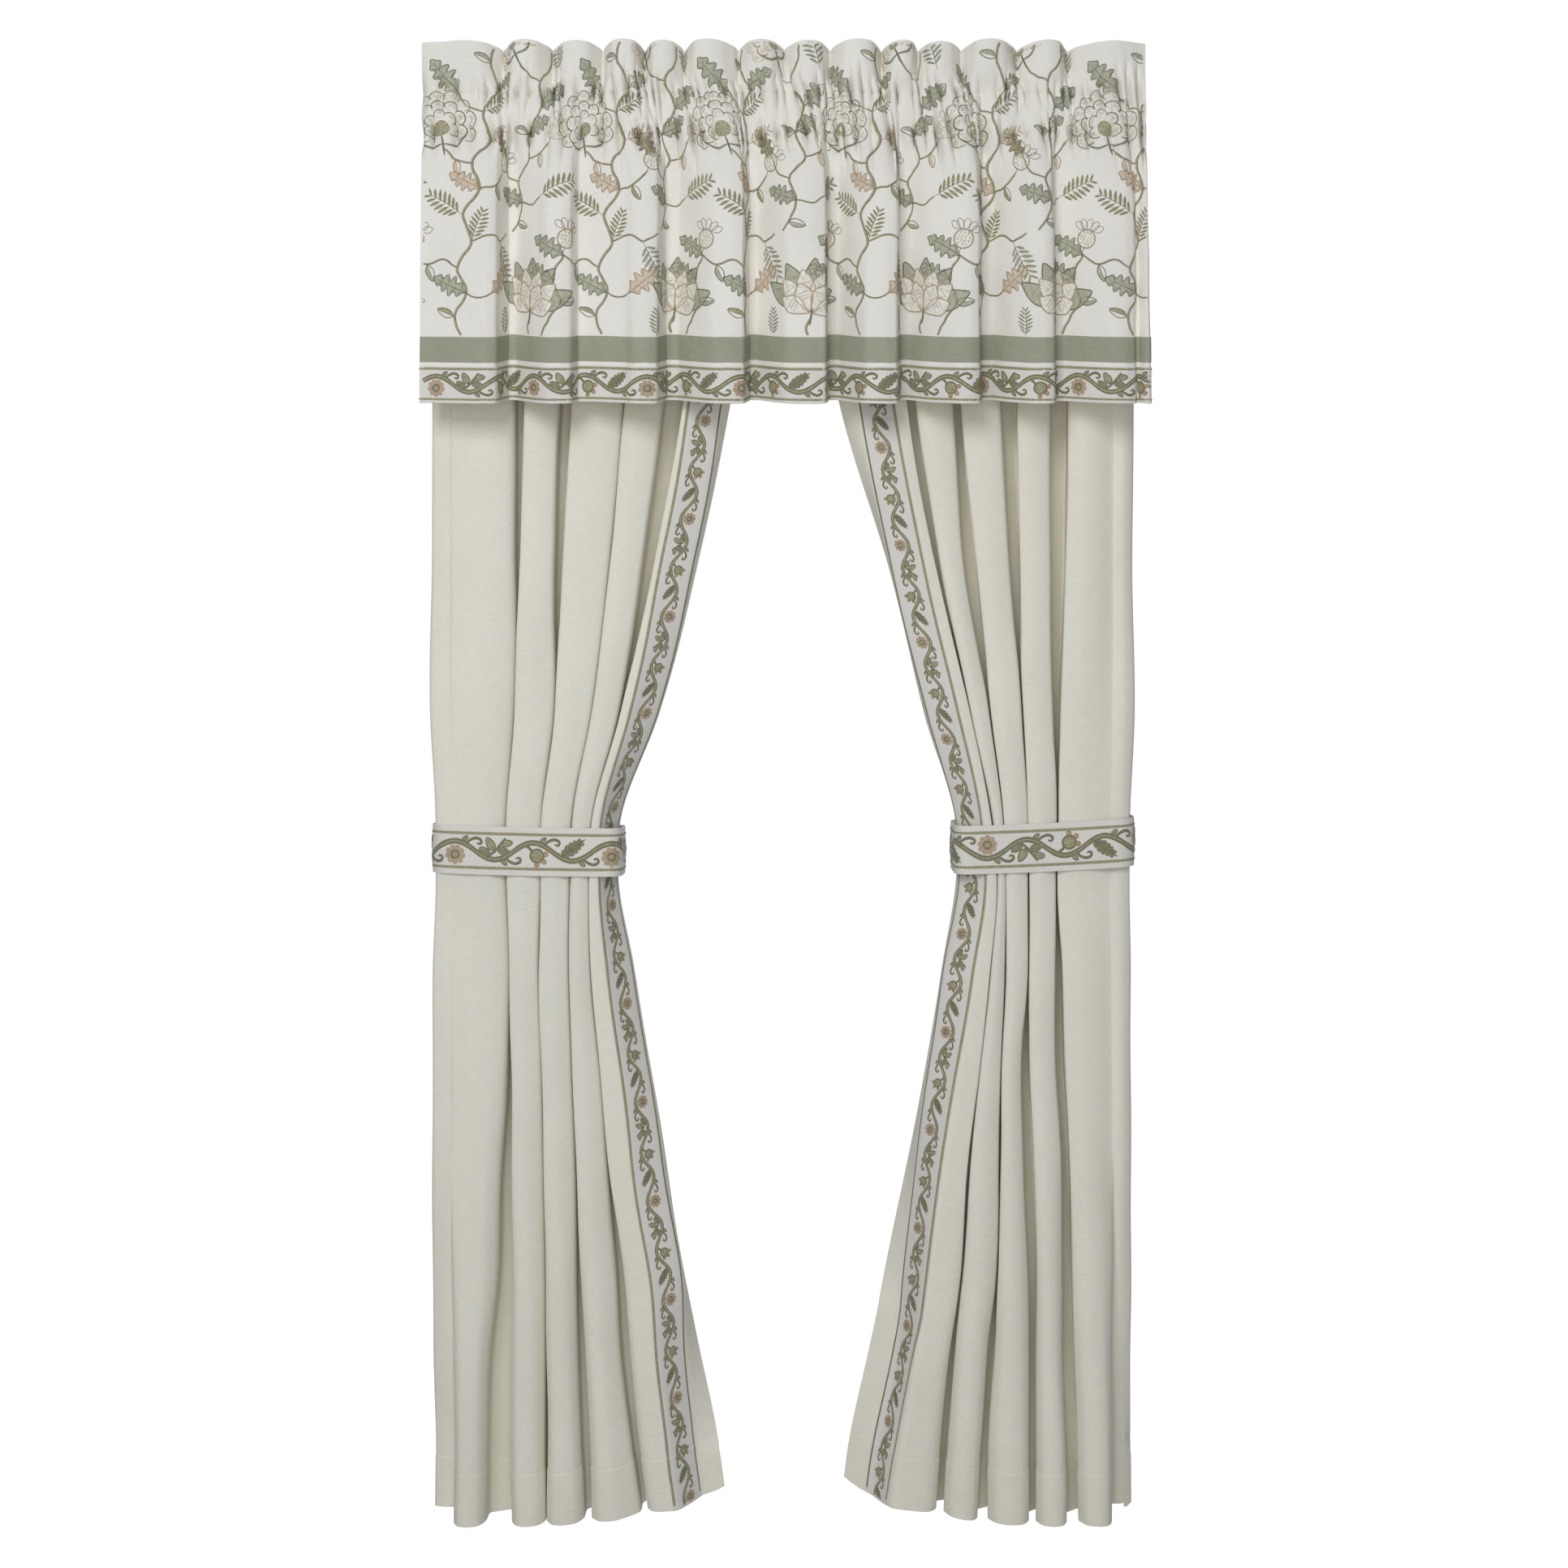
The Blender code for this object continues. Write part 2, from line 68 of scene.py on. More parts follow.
# the right panel is written as seen in a mirror
rightFolds = (
    (100, -513, -484, -410, -386, -330, -306, -236, -226, -160, -142, -112, -58, -7),
    (-40, -515, -482, -410, -386, -332, -308, -240, -230, -166, -150, -122, -68, -18),
    (-416, -518, -479, -412, -387, -338, -315, -257, -247, -192, -179, -160, -108, -80),
    (-629, -517, -478, -409, -387, -342, -327, -278, -260, -225, -216, -202, -152, -147),
    (-859, -516, -477, -401, -390, -348, -344, -302, -297, -273, -268, -255, -207, -204),
    (-1019, -502, -473, -399, -395, -356, -352, -320, -316, -304, -300, -291, -253, -250),
    (-1088, -502, -471, -397, -393, -357, -353, -323, -319, -310, -306, -296, -256, -252),
    (-1235, -510, -475, -404, -394, -357, -352, -323, -319, -301, -297, -276, -231, -228),
    (-1361, -513, -476, -407, -394, -356, -345, -318, -314, -287, -283, -254, -213, -209),
    (-1511, -514, -477, -415, -403, -363, -347, -316, -312, -272, -266, -230, -194, -180),
    (-1682, -517, -478, -419, -405, -368, -356, -312, -308, -260, -254, -206, -175, -143),
    (-1784, -517, -478, -422, -405, -367, -357, -307, -297, -250, -241, -192, -167, -121),
    (-1934, -518, -479, -428, -410, -368, -357, -298, -287, -238, -227, -167, -140, -89),
    (-2060, -518, -478, -432, -412, -369, -357, -298, -281, -232, -219, -148, -126, -76),
)
panel = {
    "length": 2.136, "flatWidth": 1.050, "depthPlace": 0.076, "thickness": 0.0014,
    "margin": 0.038, "border": 0.053, "backLap": 0.008,
    "hem": 0.076, "hemGroove": 0.0016, "hemBulk": 0.0008,
    # below the tie the folds round out and the outer strip falls back between two heights
    "roundFrom": -1.45, "roundTo": -2.02, "roundDown": 0.024, "stripLeft": 0.014,
    # what changes where the tie holds the cloth
    "tieLevel": -1.055, "heldReach": 0.170, "dipHeld": 0.5, "insetHeld": 1.2, "outerCurl": 0.018,
    "outerLap": 0.012, "outerInset": 0.008, "edgeInset": 0.0045,
    # folds closer than the open gap are drawn together toward the closed gap
    "closedGap": 0.0019, "shutGap": 0.004, "openGap": 0.009,
    # the folds lie over toward one side: how far a face falls away, at the tie and at the hem
    "sweep": (0.008, 0.022), "sweepShare": 0.32, "sweepLimit": 0.38, "sweepBelow": 0.15, "sweepOver": 0.7,
    "floorRise": 0.30, "undercut": 0.001, "lapLimit": 0.2, "sideDip": {"left": 0.006, "right": 0.018},
    # how far behind the front the lead and the ridge beside it stand: in metres, and share of the rounding
    "leadBack": (0.002, 0.9), "ridgeBack": (0.001, 0.16), "ridgeShare": 0.2,
    # corner radius and steps of each kind of bend
    "crisp": (0.004, 4), "shoulder": (0.012, 4), "foot": (0.006, 3), "borderTurn": (0.008, 4),
    "arch": (0.03, 3),
    "runSteps": 2, "rowStep": 0.009, "lowest": -2.060,
    # rows down the cloth: how many above the hem's stitching, those at it, how many below
    "rowsAbove": 176, "hemRows": (-0.0025, -0.001, 0.0005, 0.002, 0.004), "rowsBelow": 9,
    "clearAbove": 0.004, "clearBelow": 0.012,
    "shallow": 0.010, "deep": 0.140, "tries": 24,
    "ripple": 0.0006, "rippleSeed": {"left": 5, "right": 9}, "rippleCount": 9, "rippleReach": (0.09, 0.22),
    "stitchRow": 0.0005, "stitchRowHalf": 0.0008,
}


def readCurve(places, values, at):
    # smooth reading of a table at one or more places
    places = np.asarray(places, float)
    values = np.asarray(values, float)
    order = np.argsort(places)
    places = places[order]
    values = values[order]
    slopes = np.gradient(values, places, axis=0)
    at = np.atleast_1d(np.clip(at, places[0], places[-1]))
    span = np.clip(np.searchsorted(places, at) - 1, 0, len(places) - 2)
    width = places[span + 1] - places[span]
    t = (at - places[span]) / width
    if values.ndim > 1:
        t = t[:, None]
        width = width[:, None]
    return ((2 * t**3 - 3 * t**2 + 1) * values[span] + (t**3 - 2 * t**2 + t) * width * slopes[span]
            + (3 * t**2 - 2 * t**3) * values[span + 1] + (t**3 - t**2) * width * slopes[span + 1])


cornerShare = 0.36      # how much of a straight run a rounded corner may take


def roundedPath(corners, runSteps):
    # corners are (across, depth, radius, steps); straight runs get points of their own
    points = [np.array(corners[0][:2])]
    for before, corner, after in zip(corners, corners[1:], corners[2:]):
        here = np.array(corner[:2])
        radius, steps = corner[2:]
        back = np.array(before[:2]) - here
        ahead = np.array(after[:2]) - here
        backLength = np.hypot(*back)
        aheadLength = np.hypot(*ahead)
        start = here + back / backLength * min(radius, cornerShare * backLength)
        end = here + ahead / aheadLength * min(radius, cornerShare * aheadLength)
        last = points[-1]
        points += [last + (start - last) * step / (runSteps + 1) for step in range(1, runSteps + 1)]
        for t in np.linspace(0, 1, steps + 1):
            points.append((1 - t)**2 * start + 2 * t * (1 - t) * here + t * t * end)
    last = points[-1]
    final = np.array(corners[-1][:2])
    for step in range(1, runSteps + 2):
        points.append(last + (final - last) * step / (runSteps + 1))
    return np.array(points)


def pathLength(points):
    return float(np.sum(np.hypot(*np.diff(np.array(points)[:, :2], axis=0).T)))


def outerStrip(side, outer, first, dip):
    # across, how far behind the front, kind of bend
    if side == "left":
        # a soft hollow runs down the wide outer face
        return (outer, 0.006, "foot"), (outer + 0.018, 0.001, "arch"), (first - 0.0025, 0.0015, "foot")
    return ((outer, dip + 0.006, "foot"), ((outer + first) / 2, dip * 0.8, "arch"),
            (first - 0.0025, dip * 0.95, "foot"))


def foldFace(side, fold, dip, sweep):
    # share of the fold's width, how far behind the front, kind of bend
    share = panel["sweepShare"]
    if side == "left" and fold == 0:
        return ((0, 0.6 * dip, "arch"), (0.15, 0.85 * dip, "arch"), (0.30, dip, "arch"), (0.66, 0, "arch"),
                (1, sweep, "shoulder"))
    if side == "left":
        return ((0, 0.0050, "crisp"), (0.14, 0.0018, "arch"), (0.38, 0, "arch"),
                (0.68, share * sweep, "arch"), (1, sweep, "shoulder"))
    away, bend = (dip, "arch") if fold == 0 else (sweep, "shoulder")
    return ((0, away, bend), (0.32, share * away, "arch"), (0.64, 0, "arch"), (0.87, 0.0018, "arch"),
            (1, 0.0050, "crisp"))


def roundFace(side, fold, sweep):
    # the same face rounded out at the hem: share of the width, share of the rounding
    face = [(0, 1.0), (0.17, 0.20), (0.46, 0), (0.80, 0.20), (1, 1.0)]
    if side == "left" and fold == 3:
        # the last fold runs on into the leading edge
        face[3:] = [(0.68, panel["sweepShare"] * sweep / panel["roundDown"]), (1, sweep / panel["roundDown"])]
    return face


def panelCorners(place, depth, side):
    front = panel["depthPlace"] - depth / 2
    back = panel["depthPlace"] + depth / 2
    held = math.exp(-((place["height"] - panel["tieLevel"]) / panel["heldReach"])**2)
    hang = min(max(panel["tieLevel"] - panel["sweepBelow"] - place["height"], 0) / panel["sweepOver"], 1)
    lefts = [place[f"left{fold}"] for fold in (1, 2, 3, 4)] + [place["lead"]]
    rights = [place[f"right{fold}"] for fold in (1, 2, 3, 4)]
    # where two folds are pressed together only a fine line shows
    for fold in range(4):
        gap = lefts[fold + 1] - rights[fold]
        shut = min(max((panel["openGap"] - gap) / (panel["openGap"] - panel["shutGap"]), 0), 1)
        spare = shut * (gap - panel["closedGap"]) / 2
        rights[fold] += spare
        lefts[fold + 1] -= spare
    dip = panel["sideDip"][side] * (1 - panel["dipHeld"] * held)
    fall = min(max((panel["roundFrom"] - place["height"]) / (panel["roundFrom"] - panel["roundTo"]), 0), 1)
    fall = fall * fall * (3 - 2 * fall)
    drop = fall * (depth - panel["stripLeft"])
    outer = place["outer"]
    corners = [(outer + panel["outerLap"], back - panel["outerCurl"] * held, 0, 1)]
    outer += panel["outerInset"] * (1 - panel["insetHeld"] * held) * (1 - fall)
    corners += [(across, front + down + drop, *panel[kind])
                for across, down, kind in outerStrip(side, outer, lefts[0], dip)]
    for fold in range(4):
        left, right, following = lefts[fold], rights[fold], lefts[fold + 1]
        width = right - left
        sweep = min(panel["sweep"][0] * (1 - hang) + panel["sweep"][1] * hang, panel["sweepLimit"] * width)
        for (at, down, kind), (roundAt, roundDown) in zip(foldFace(side, fold, dip, sweep),
                                                          roundFace(side, fold, sweep)):
            at += (roundAt - at) * fall
            down += (roundDown * panel["roundDown"] - down) * fall
            corners.append((left + at * width, front + down, *panel[kind]))
        nextWidth = width if fold == 3 else rights[fold + 1] - following
        rise = back - panel["floorRise"] * depth
        if side == "left":
            lap = min(panel["backLap"], panel["lapLimit"] * nextWidth)
            corners += [(right - panel["undercut"], rise, *panel["foot"]),
                        (following + lap, back, *panel["foot"])]
        else:
            lap = min(panel["backLap"], panel["lapLimit"] * width)
            corners += [(right - lap, back, *panel["foot"]),
                        (following + panel["undercut"], rise, *panel["foot"])]
    borderIn, borderOut, lead = place["borderIn"], place["borderOut"], lefts[4]
    turn = math.sqrt(max(panel["border"]**2 - (borderOut - borderIn)**2, 0))
    curl = math.sqrt(max(panel["margin"]**2 - (place["edge"] - borderOut)**2, 0))
    bend = "crisp" if side == "left" else "shoulder"
    behind = [front + near + share * panel["roundDown"] * fall
              for near, share in (panel["leadBack"], panel["ridgeBack"])]
    corners += [(lead, behind[0], *panel[bend]),
                (lead + panel["ridgeShare"] * (borderIn - lead), behind[1], *panel["arch"]),
                (borderIn, front, *panel["borderTurn"]),
                (borderOut, front + turn, *panel["borderTurn"]),
                (place["edge"] - panel["edgeInset"], front + turn + curl, 0, 1)]
    return corners


def panelSection(place, side):
    # the folds go as deep as the flat width allows
    shallow, deep = panel["shallow"], panel["deep"]
    for _ in range(panel["tries"]):
        depth = (shallow + deep) / 2
        if pathLength(roundedPath(panelCorners(place, depth, side), 0)) < panel["flatWidth"]:
            shallow = depth
        else:
            deep = depth
    return roundedPath(panelCorners(place, depth, side), panel["runSteps"])


def panelGrid(table, side):
    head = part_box("panel_left")[1][2]
    table = np.array(table, float) * mm
    heights = np.arange(head, panel["lowest"], -panel["rowStep"])
    places = readCurve(table[:, 0], table, heights)
    stack = []
    for height, values in zip(heights, places):
        section = panelSection(dict(zip(foldColumns, values)), side)
        stack.append(np.column_stack([section, np.full(len(section), height)]))
    stack = np.array(stack)
    thread = np.zeros(stack.shape[:2])
    thread[1:] = np.cumsum(np.linalg.norm(np.diff(stack, axis=0), axis=2), axis=0)
    hemLine = panel["length"] - panel["hem"]
    # rows stand closer where the hem is stitched
    rows = np.concatenate([np.linspace(0, hemLine - panel["clearAbove"], panel["rowsAbove"]),
                           hemLine + np.array(panel["hemRows"]),
                           np.linspace(hemLine + panel["clearBelow"], panel["length"], panel["rowsBelow"])])
    grid = np.zeros((len(rows), stack.shape[1], 3))
    for column in range(stack.shape[1]):
        for axis in range(3):
            grid[:, column, axis] = np.interp(rows, thread[:, column], stack[:, column, axis])
    return grid, rows


# a surface is a grid of points with the flat cloth place of each column (u) and row (v)

def unitNormals(grid):
    down = np.gradient(grid, axis=0)
    facets = np.cross((down[:, 1:] + down[:, :-1]) / 2, np.diff(grid, axis=1))
    facets /= np.maximum(np.linalg.norm(facets, axis=2), 1e-12)[:, :, None]
    before = np.concatenate([facets[:, :1], facets], axis=1)
    after = np.concatenate([facets, facets[:, -1:]], axis=1)
    middle = before + after
    return middle / np.maximum(np.linalg.norm(middle, axis=2), 1e-12)[:, :, None]


def arcAcross(grid):
    # distance along each row from its first column
    steps = np.linalg.norm(np.diff(grid, axis=1), axis=2)
    return np.concatenate([np.zeros((len(grid), 1)), np.cumsum(steps, axis=1)], axis=1)


def regularSurface(grid, rows, fromEdge, width, columns):
    # an evenly spaced strip of a grid, measured in from its last column
    arcs = arcAcross(grid)
    arcs = arcs[:, -1:] - arcs
    normals = unitNormals(grid)
    wanted = np.linspace(fromEdge + width, fromEdge, columns)
    points = np.zeros((len(rows), columns, 3))
    strip = np.zeros_like(points)
    for row in range(len(rows)):
        order = np.argsort(arcs[row])
        for axis in range(3):
            points[row, :, axis] = np.interp(wanted, arcs[row][order], grid[row, order, axis])
            strip[row, :, axis] = np.interp(wanted, arcs[row][order], normals[row, order, axis])
    return {"points": points, "normals": strip, "u": np.linspace(0, width, columns), "v": rows}


def placeOn(surface, u, v, lift):
    # flat cloth places to points in space, lifted off the middle of the cloth
    us, vs = surface["u"], surface["v"]
    column = np.clip(np.searchsorted(us, u) - 1, 0, len(us) - 2)
    row = np.clip(np.searchsorted(vs, v) - 1, 0, len(vs) - 2)
    s = np.clip((u - us[column]) / (us[column + 1] - us[column]), 0, 1)[:, None]
    t = np.clip((v - vs[row]) / (vs[row + 1] - vs[row]), 0, 1)[:, None]
    made = []
    for name in ("points", "normals"):
        grid = surface[name]
        upper = grid[row, column] * (1 - s) + grid[row, column + 1] * s
        lower = grid[row + 1, column] * (1 - s) + grid[row + 1, column + 1] * s
        made.append(upper * (1 - t) + lower * t)
    normal = made[1] / np.maximum(np.linalg.norm(made[1], axis=1), 1e-9)[:, None]
    return made[0] + normal * np.asarray(lift)[:, None]


def mirrored(surface):
    # turn a surface over left to right, keeping its columns running left to right
    turned = dict(surface)
    for name in ("points", "normals"):
        turned[name] = (surface[name] * np.array([-1.0, 1.0, 1.0]))[:, ::-1]
    turned["u"] = surface["u"][-1] - surface["u"][::-1]
    return turned


def ripples(u, v, seed, count, reach):
    # smooth uneven swelling, the same each run
    rng = np.random.default_rng(seed)
    total = np.zeros(np.broadcast(u, v).shape)
    for _ in range(count):
        fu, fv = rng.uniform(-1, 1, 2) / np.array(reach)
        total += np.sin(2 * math.pi * (fu * u + fv * v) + rng.uniform(0, 2 * math.pi))
    return total / math.sqrt(count)


def addObject(name, data):
    thing = bpy.data.objects.new(name, data)
    bpy.context.scene.collection.objects.link(thing)
    return thing


def flatPlaces(acrossFlat, downFlat):
    # the flat places of a cloth's two faces, one after the other
    flat = np.stack(np.meshgrid(acrossFlat, downFlat), axis=-1).reshape(-1, 2)
    return np.concatenate([flat, flat])


def closedCloth(name, grid, thickness, materials, acrossFlat, downFlat):
    # both faces of a cloth with its rim, and its flat places as a UV map in metres
    rows, columns = grid.shape[:2]
    half = unitNormals(grid) * np.broadcast_to(np.asarray(thickness), (rows,)).reshape(-1, 1, 1) / 2
    points = np.concatenate([(grid + half).reshape(-1, 3), (grid - half).reshape(-1, 3)])
    index = np.arange(rows * columns).reshape(rows, columns)
    a, b, c, d = index[:-1, :-1], index[:-1, 1:], index[1:, 1:], index[1:, :-1]
    front = np.stack([a, d, c, b], axis=-1).reshape(-1, 4)
    back = np.stack([a, b, c, d], axis=-1).reshape(-1, 4) + rows * columns
    rim = np.concatenate([index[0], index[1:, -1], index[-1, -2::-1], index[-2:0:-1, 0]])
    after = np.roll(rim, -1)
    side = np.stack([rim, after, after + rows * columns, rim + rows * columns], axis=-1)
    faces = np.concatenate([front, back, side])
    return meshPiece(name, points, faces, materials, flatPlaces(acrossFlat, downFlat))


def closedRing(name, inner, outer, materials, acrossFlat, downFlat):
    # a band whose columns run right round
    rows, columns = inner.shape[:2]
    points = np.concatenate([outer.reshape(-1, 3), inner.reshape(-1, 3)])
    index = np.arange(rows * columns).reshape(rows, columns)
    after = np.roll(index, -1, axis=1)
    front = np.stack([index[:-1], index[1:], after[1:], after[:-1]], axis=-1).reshape(-1, 4)
    back = front[:, ::-1] + rows * columns
    top = np.stack([index[0], after[0], after[0] + rows * columns, index[0] + rows * columns], axis=-1)
    low = np.stack([after[-1], index[-1], index[-1] + rows * columns, after[-1] + rows * columns], axis=-1)
    faces = np.concatenate([front, back, top, low])
    return meshPiece(name, points, faces, materials, flatPlaces(acrossFlat, downFlat))


def meshPiece(name, points, faces, materials, flat, slots=None):
    mesh = bpy.data.meshes.new(name)
    mesh.from_pydata([tuple(point) for point in points], [], [tuple(int(i) for i in face) for face in faces])
    for material in materials:
        mesh.materials.append(material)
    if slots is not None:
        mesh.polygons.foreach_set("material_index", np.asarray(slots, dtype=np.int32))
    layer = mesh.uv_layers.new(name="flatCloth")
    corner = np.zeros(len(mesh.loops), dtype=np.int32)
    mesh.loops.foreach_get("vertex_index", corner)
    layer.data.foreach_set("uv", np.asarray(flat, dtype=np.float32)[corner].ravel())
    mesh.shade_smooth()
    mesh.set_sharp_from_angle(angle=math.radians(60))
    return addObject(name, mesh)


def finishPiece(piece, slot, *nodes):
    if nodes:
        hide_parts(*nodes)
    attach(piece, "root")


# colours are linear; slubs are the thick places in the yarn, in metres
finishes = {
    "ivoryCloth": {"colour": (0.845, 0.812, 0.692), "shade": 0.035, "slub": (0.016, 0.0007),
                   "slubDepth": 0.110, "weave": 0.0009, "bump": 0.30, "glow": 0.15, "through": 0.28},
    "printGround": {"colour": (0.880, 0.852, 0.765), "shade": 0.040, "slub": (0.012, 0.0007),
                    "slubDepth": 0.095, "weave": 0.0009, "bump": 0.26, "glow": 0.12, "through": 0.05},
    "borderGround": {"colour": (0.800, 0.765, 0.690), "shade": 0.040, "slub": (0.010, 0.0006),
                     "slubDepth": 0.070, "weave": 0.0008, "bump": 0.30, "glow": 0.08, "through": 0.08},
    "sageCloth": {"colour": (0.375, 0.385, 0.280), "shade": 0.070, "slub": (0.020, 0.0009),
                  "slubDepth": 0.180, "weave": 0.0010, "bump": 0.40, "glow": 0.05, "through": 0.05},
}
clouds = (0.11, 0.16, 3.0)      # size across and down the cloth, and detail, of the mottling


def setInputs(tree, node, given):
    # each input takes a value, or a link from a socket
    for key, value in given.items():
        if isinstance(value, bpy.types.NodeSocket):
            tree.links.new(value, node.inputs[key])
        else:
            node.inputs[key].default_value = value


def addNode(tree, kind, given=None, **settings):
    node = tree.nodes.new(kind)
    for setting, value in settings.items():
        setattr(node, setting, value)
    setInputs(tree, node, given or {})
    return node


def newMaterial(name, given):
    material = bpy.data.materials.new(name)
    material.use_nodes = True
    setInputs(material.node_tree, material.node_tree.nodes["Principled BSDF"], given)
    return material, material.node_tree


def noiseOn(tree, place, scale, detail=2.0):
    noise = addNode(tree, "ShaderNodeTexNoise", {"Vector": place, "Scale": scale, "Detail": detail})
    return noise.outputs["Fac"]


def sumOf(tree, first, second, share=1.0):
    # the first and a share of the second
    part = addNode(tree, "ShaderNodeMath", {0: second, 1: share}, operation="MULTIPLY").outputs[0]
    return addNode(tree, "ShaderNodeMath", {0: first, 1: part}, operation="ADD").outputs[0]


def tinted(tree, source, colour, dark, light, reach=(0.0, 1.0)):
    # a colour made darker and lighter where a noise is low and high
    tone = addNode(tree, "ShaderNodeMapRange", {"Value": source, "From Min": reach[0], "From Max": reach[1],
                                                "To Min": dark, "To Max": light}).outputs["Result"]
    scaled = addNode(tree, "ShaderNodeVectorMath", {0: colour, "Scale": tone}, operation="SCALE")
    return scaled.outputs["Vector"]


def raised(tree, height, strength, distance):
    bump = addNode(tree, "ShaderNodeBump", {"Height": height, "Strength": strength, "Distance": distance})
    return bump.outputs["Normal"]


def clothMaterial(name):
    # a slub weave: uneven warp and weft, mottled colour and a matt surface
    finish = finishes[name]
    material, tree = newMaterial(name, {
        "Sheen Weight": finish["glow"], "Sheen Roughness": 0.6, "Specular IOR Level": 0.18,
        "Subsurface Weight": finish["through"], "Subsurface Radius": (1.0, 0.80, 0.52),
        "Subsurface Scale": 0.006})
    flat = addNode(tree, "ShaderNodeUVMap", uv_map="flatCloth").outputs["UV"]

    def yarn(across, down, detail):
        sized = addNode(tree, "ShaderNodeMapping", {"Vector": flat, "Scale": (1 / across, 1 / down, 1)})
        return noiseOn(tree, sized.outputs["Vector"], 1.0, detail)

    long, thin = finish["slub"]
    weft = addNode(tree, "ShaderNodeMath", {0: yarn(long, thin, 2.0), 1: 0.62}, operation="MULTIPLY")
    weave = sumOf(tree, weft.outputs[0], yarn(thin, long, 2.0), 0.38)
    grain = yarn(finish["weave"], finish["weave"], 1.0)
    colour = finish["colour"]
    for source, depth in ((weave, finish["slubDepth"]), (yarn(*clouds), finish["shade"])):
        colour = tinted(tree, source, colour, 1.0 - depth, 1.0 + depth * 0.5, (0.30, 0.70))
    rough = addNode(tree, "ShaderNodeMapRange", {"Value": grain, "To Min": 0.82, "To Max": 0.98})
    setInputs(tree, tree.nodes["Principled BSDF"], {
        "Base Color": colour, "Roughness": rough.outputs["Result"],
        "Normal": raised(tree, sumOf(tree, weave, grain, 0.30), finish["bump"], 0.0006)})
    return material


cloths = {name: clothMaterial(name) for name in finishes}
print("cloth finishes ready")

# the two panels and their sewn-on strips
trim = {"thickness": 0.0006, "gap": 0.00035, "columns": 16}
trimTop = trim["gap"] + trim["thickness"]


def buildPanel(side, table):
    grid, rows = panelGrid(table, side)
    flatAcross = arcAcross(grid).mean(axis=0)
    uneven = ripples(flatAcross[None, :], rows[:, None], panel["rippleSeed"][side], panel["rippleCount"],
                     panel["rippleReach"])
    grid = grid + unitNormals(grid) * (uneven * panel["ripple"])[:, :, None]
    hemLine = panel["length"] - panel["hem"]
    doubled = rows > hemLine
    stitched = np.abs(rows - hemLine - panel["stitchRow"]) < panel["stitchRowHalf"]
    thickness = panel["thickness"] + doubled * panel["hemBulk"] * 2 - stitched * panel["hemGroove"]
    strip = regularSurface(grid, rows, panel["margin"], panel["border"], trim["columns"])
    strip["points"] = strip["points"] + strip["normals"] * (doubled * panel["hemBulk"])[:, None, None]
    if side == "right":
        grid = (grid * np.array([-1.0, 1.0, 1.0]))[:, ::-1]
        flatAcross = flatAcross[-1] - flatAcross[::-1]
        strip = mirrored(strip)
    name = f"panel{side.title()}"
    piece = closedCloth(name, grid, thickness, [cloths["ivoryCloth"]], flatAcross, rows)
    finishPiece(piece, "panel_cloth", f"panel_{side}")
    lift = panel["thickness"] / 2 + trim["gap"] + trim["thickness"] / 2
    edging = closedCloth(f"{name}Border", strip["points"] + strip["normals"] * lift, trim["thickness"],
                         [cloths["borderGround"]], strip["u"], strip["v"])
    finishPiece(edging, "border_cloth", f"border_{side}")
    normals = unitNormals(grid)
    bodies[side] = {"points": grid + normals * thickness[:, None, None] / 2, "normals": normals,
                    "u": flatAcross, "v": rows}
    return strip


bodies = {}
panelStrips = {"left": buildPanel("left", leftFolds), "right": buildPanel("right", rightFolds)}
print("panels hung")

# the ties: corner radii run from the right front round to the left front
tie = {
    "height": 0.070, "thickness": 0.0016, "bow": 0.0012, "sag": 0.0015, "clear": 0.0004,
    "rows": 22, "runStep": 0.0045, "cornerSteps": 9,
    "corners": (0.022, 0.014, 0.014, 0.028),
    "left": {"height": -1.056, "rise": 0.003, "backLift": 0.003},
    "right": {"height": -1.050, "rise": 0.006, "backLift": 0.008},
}


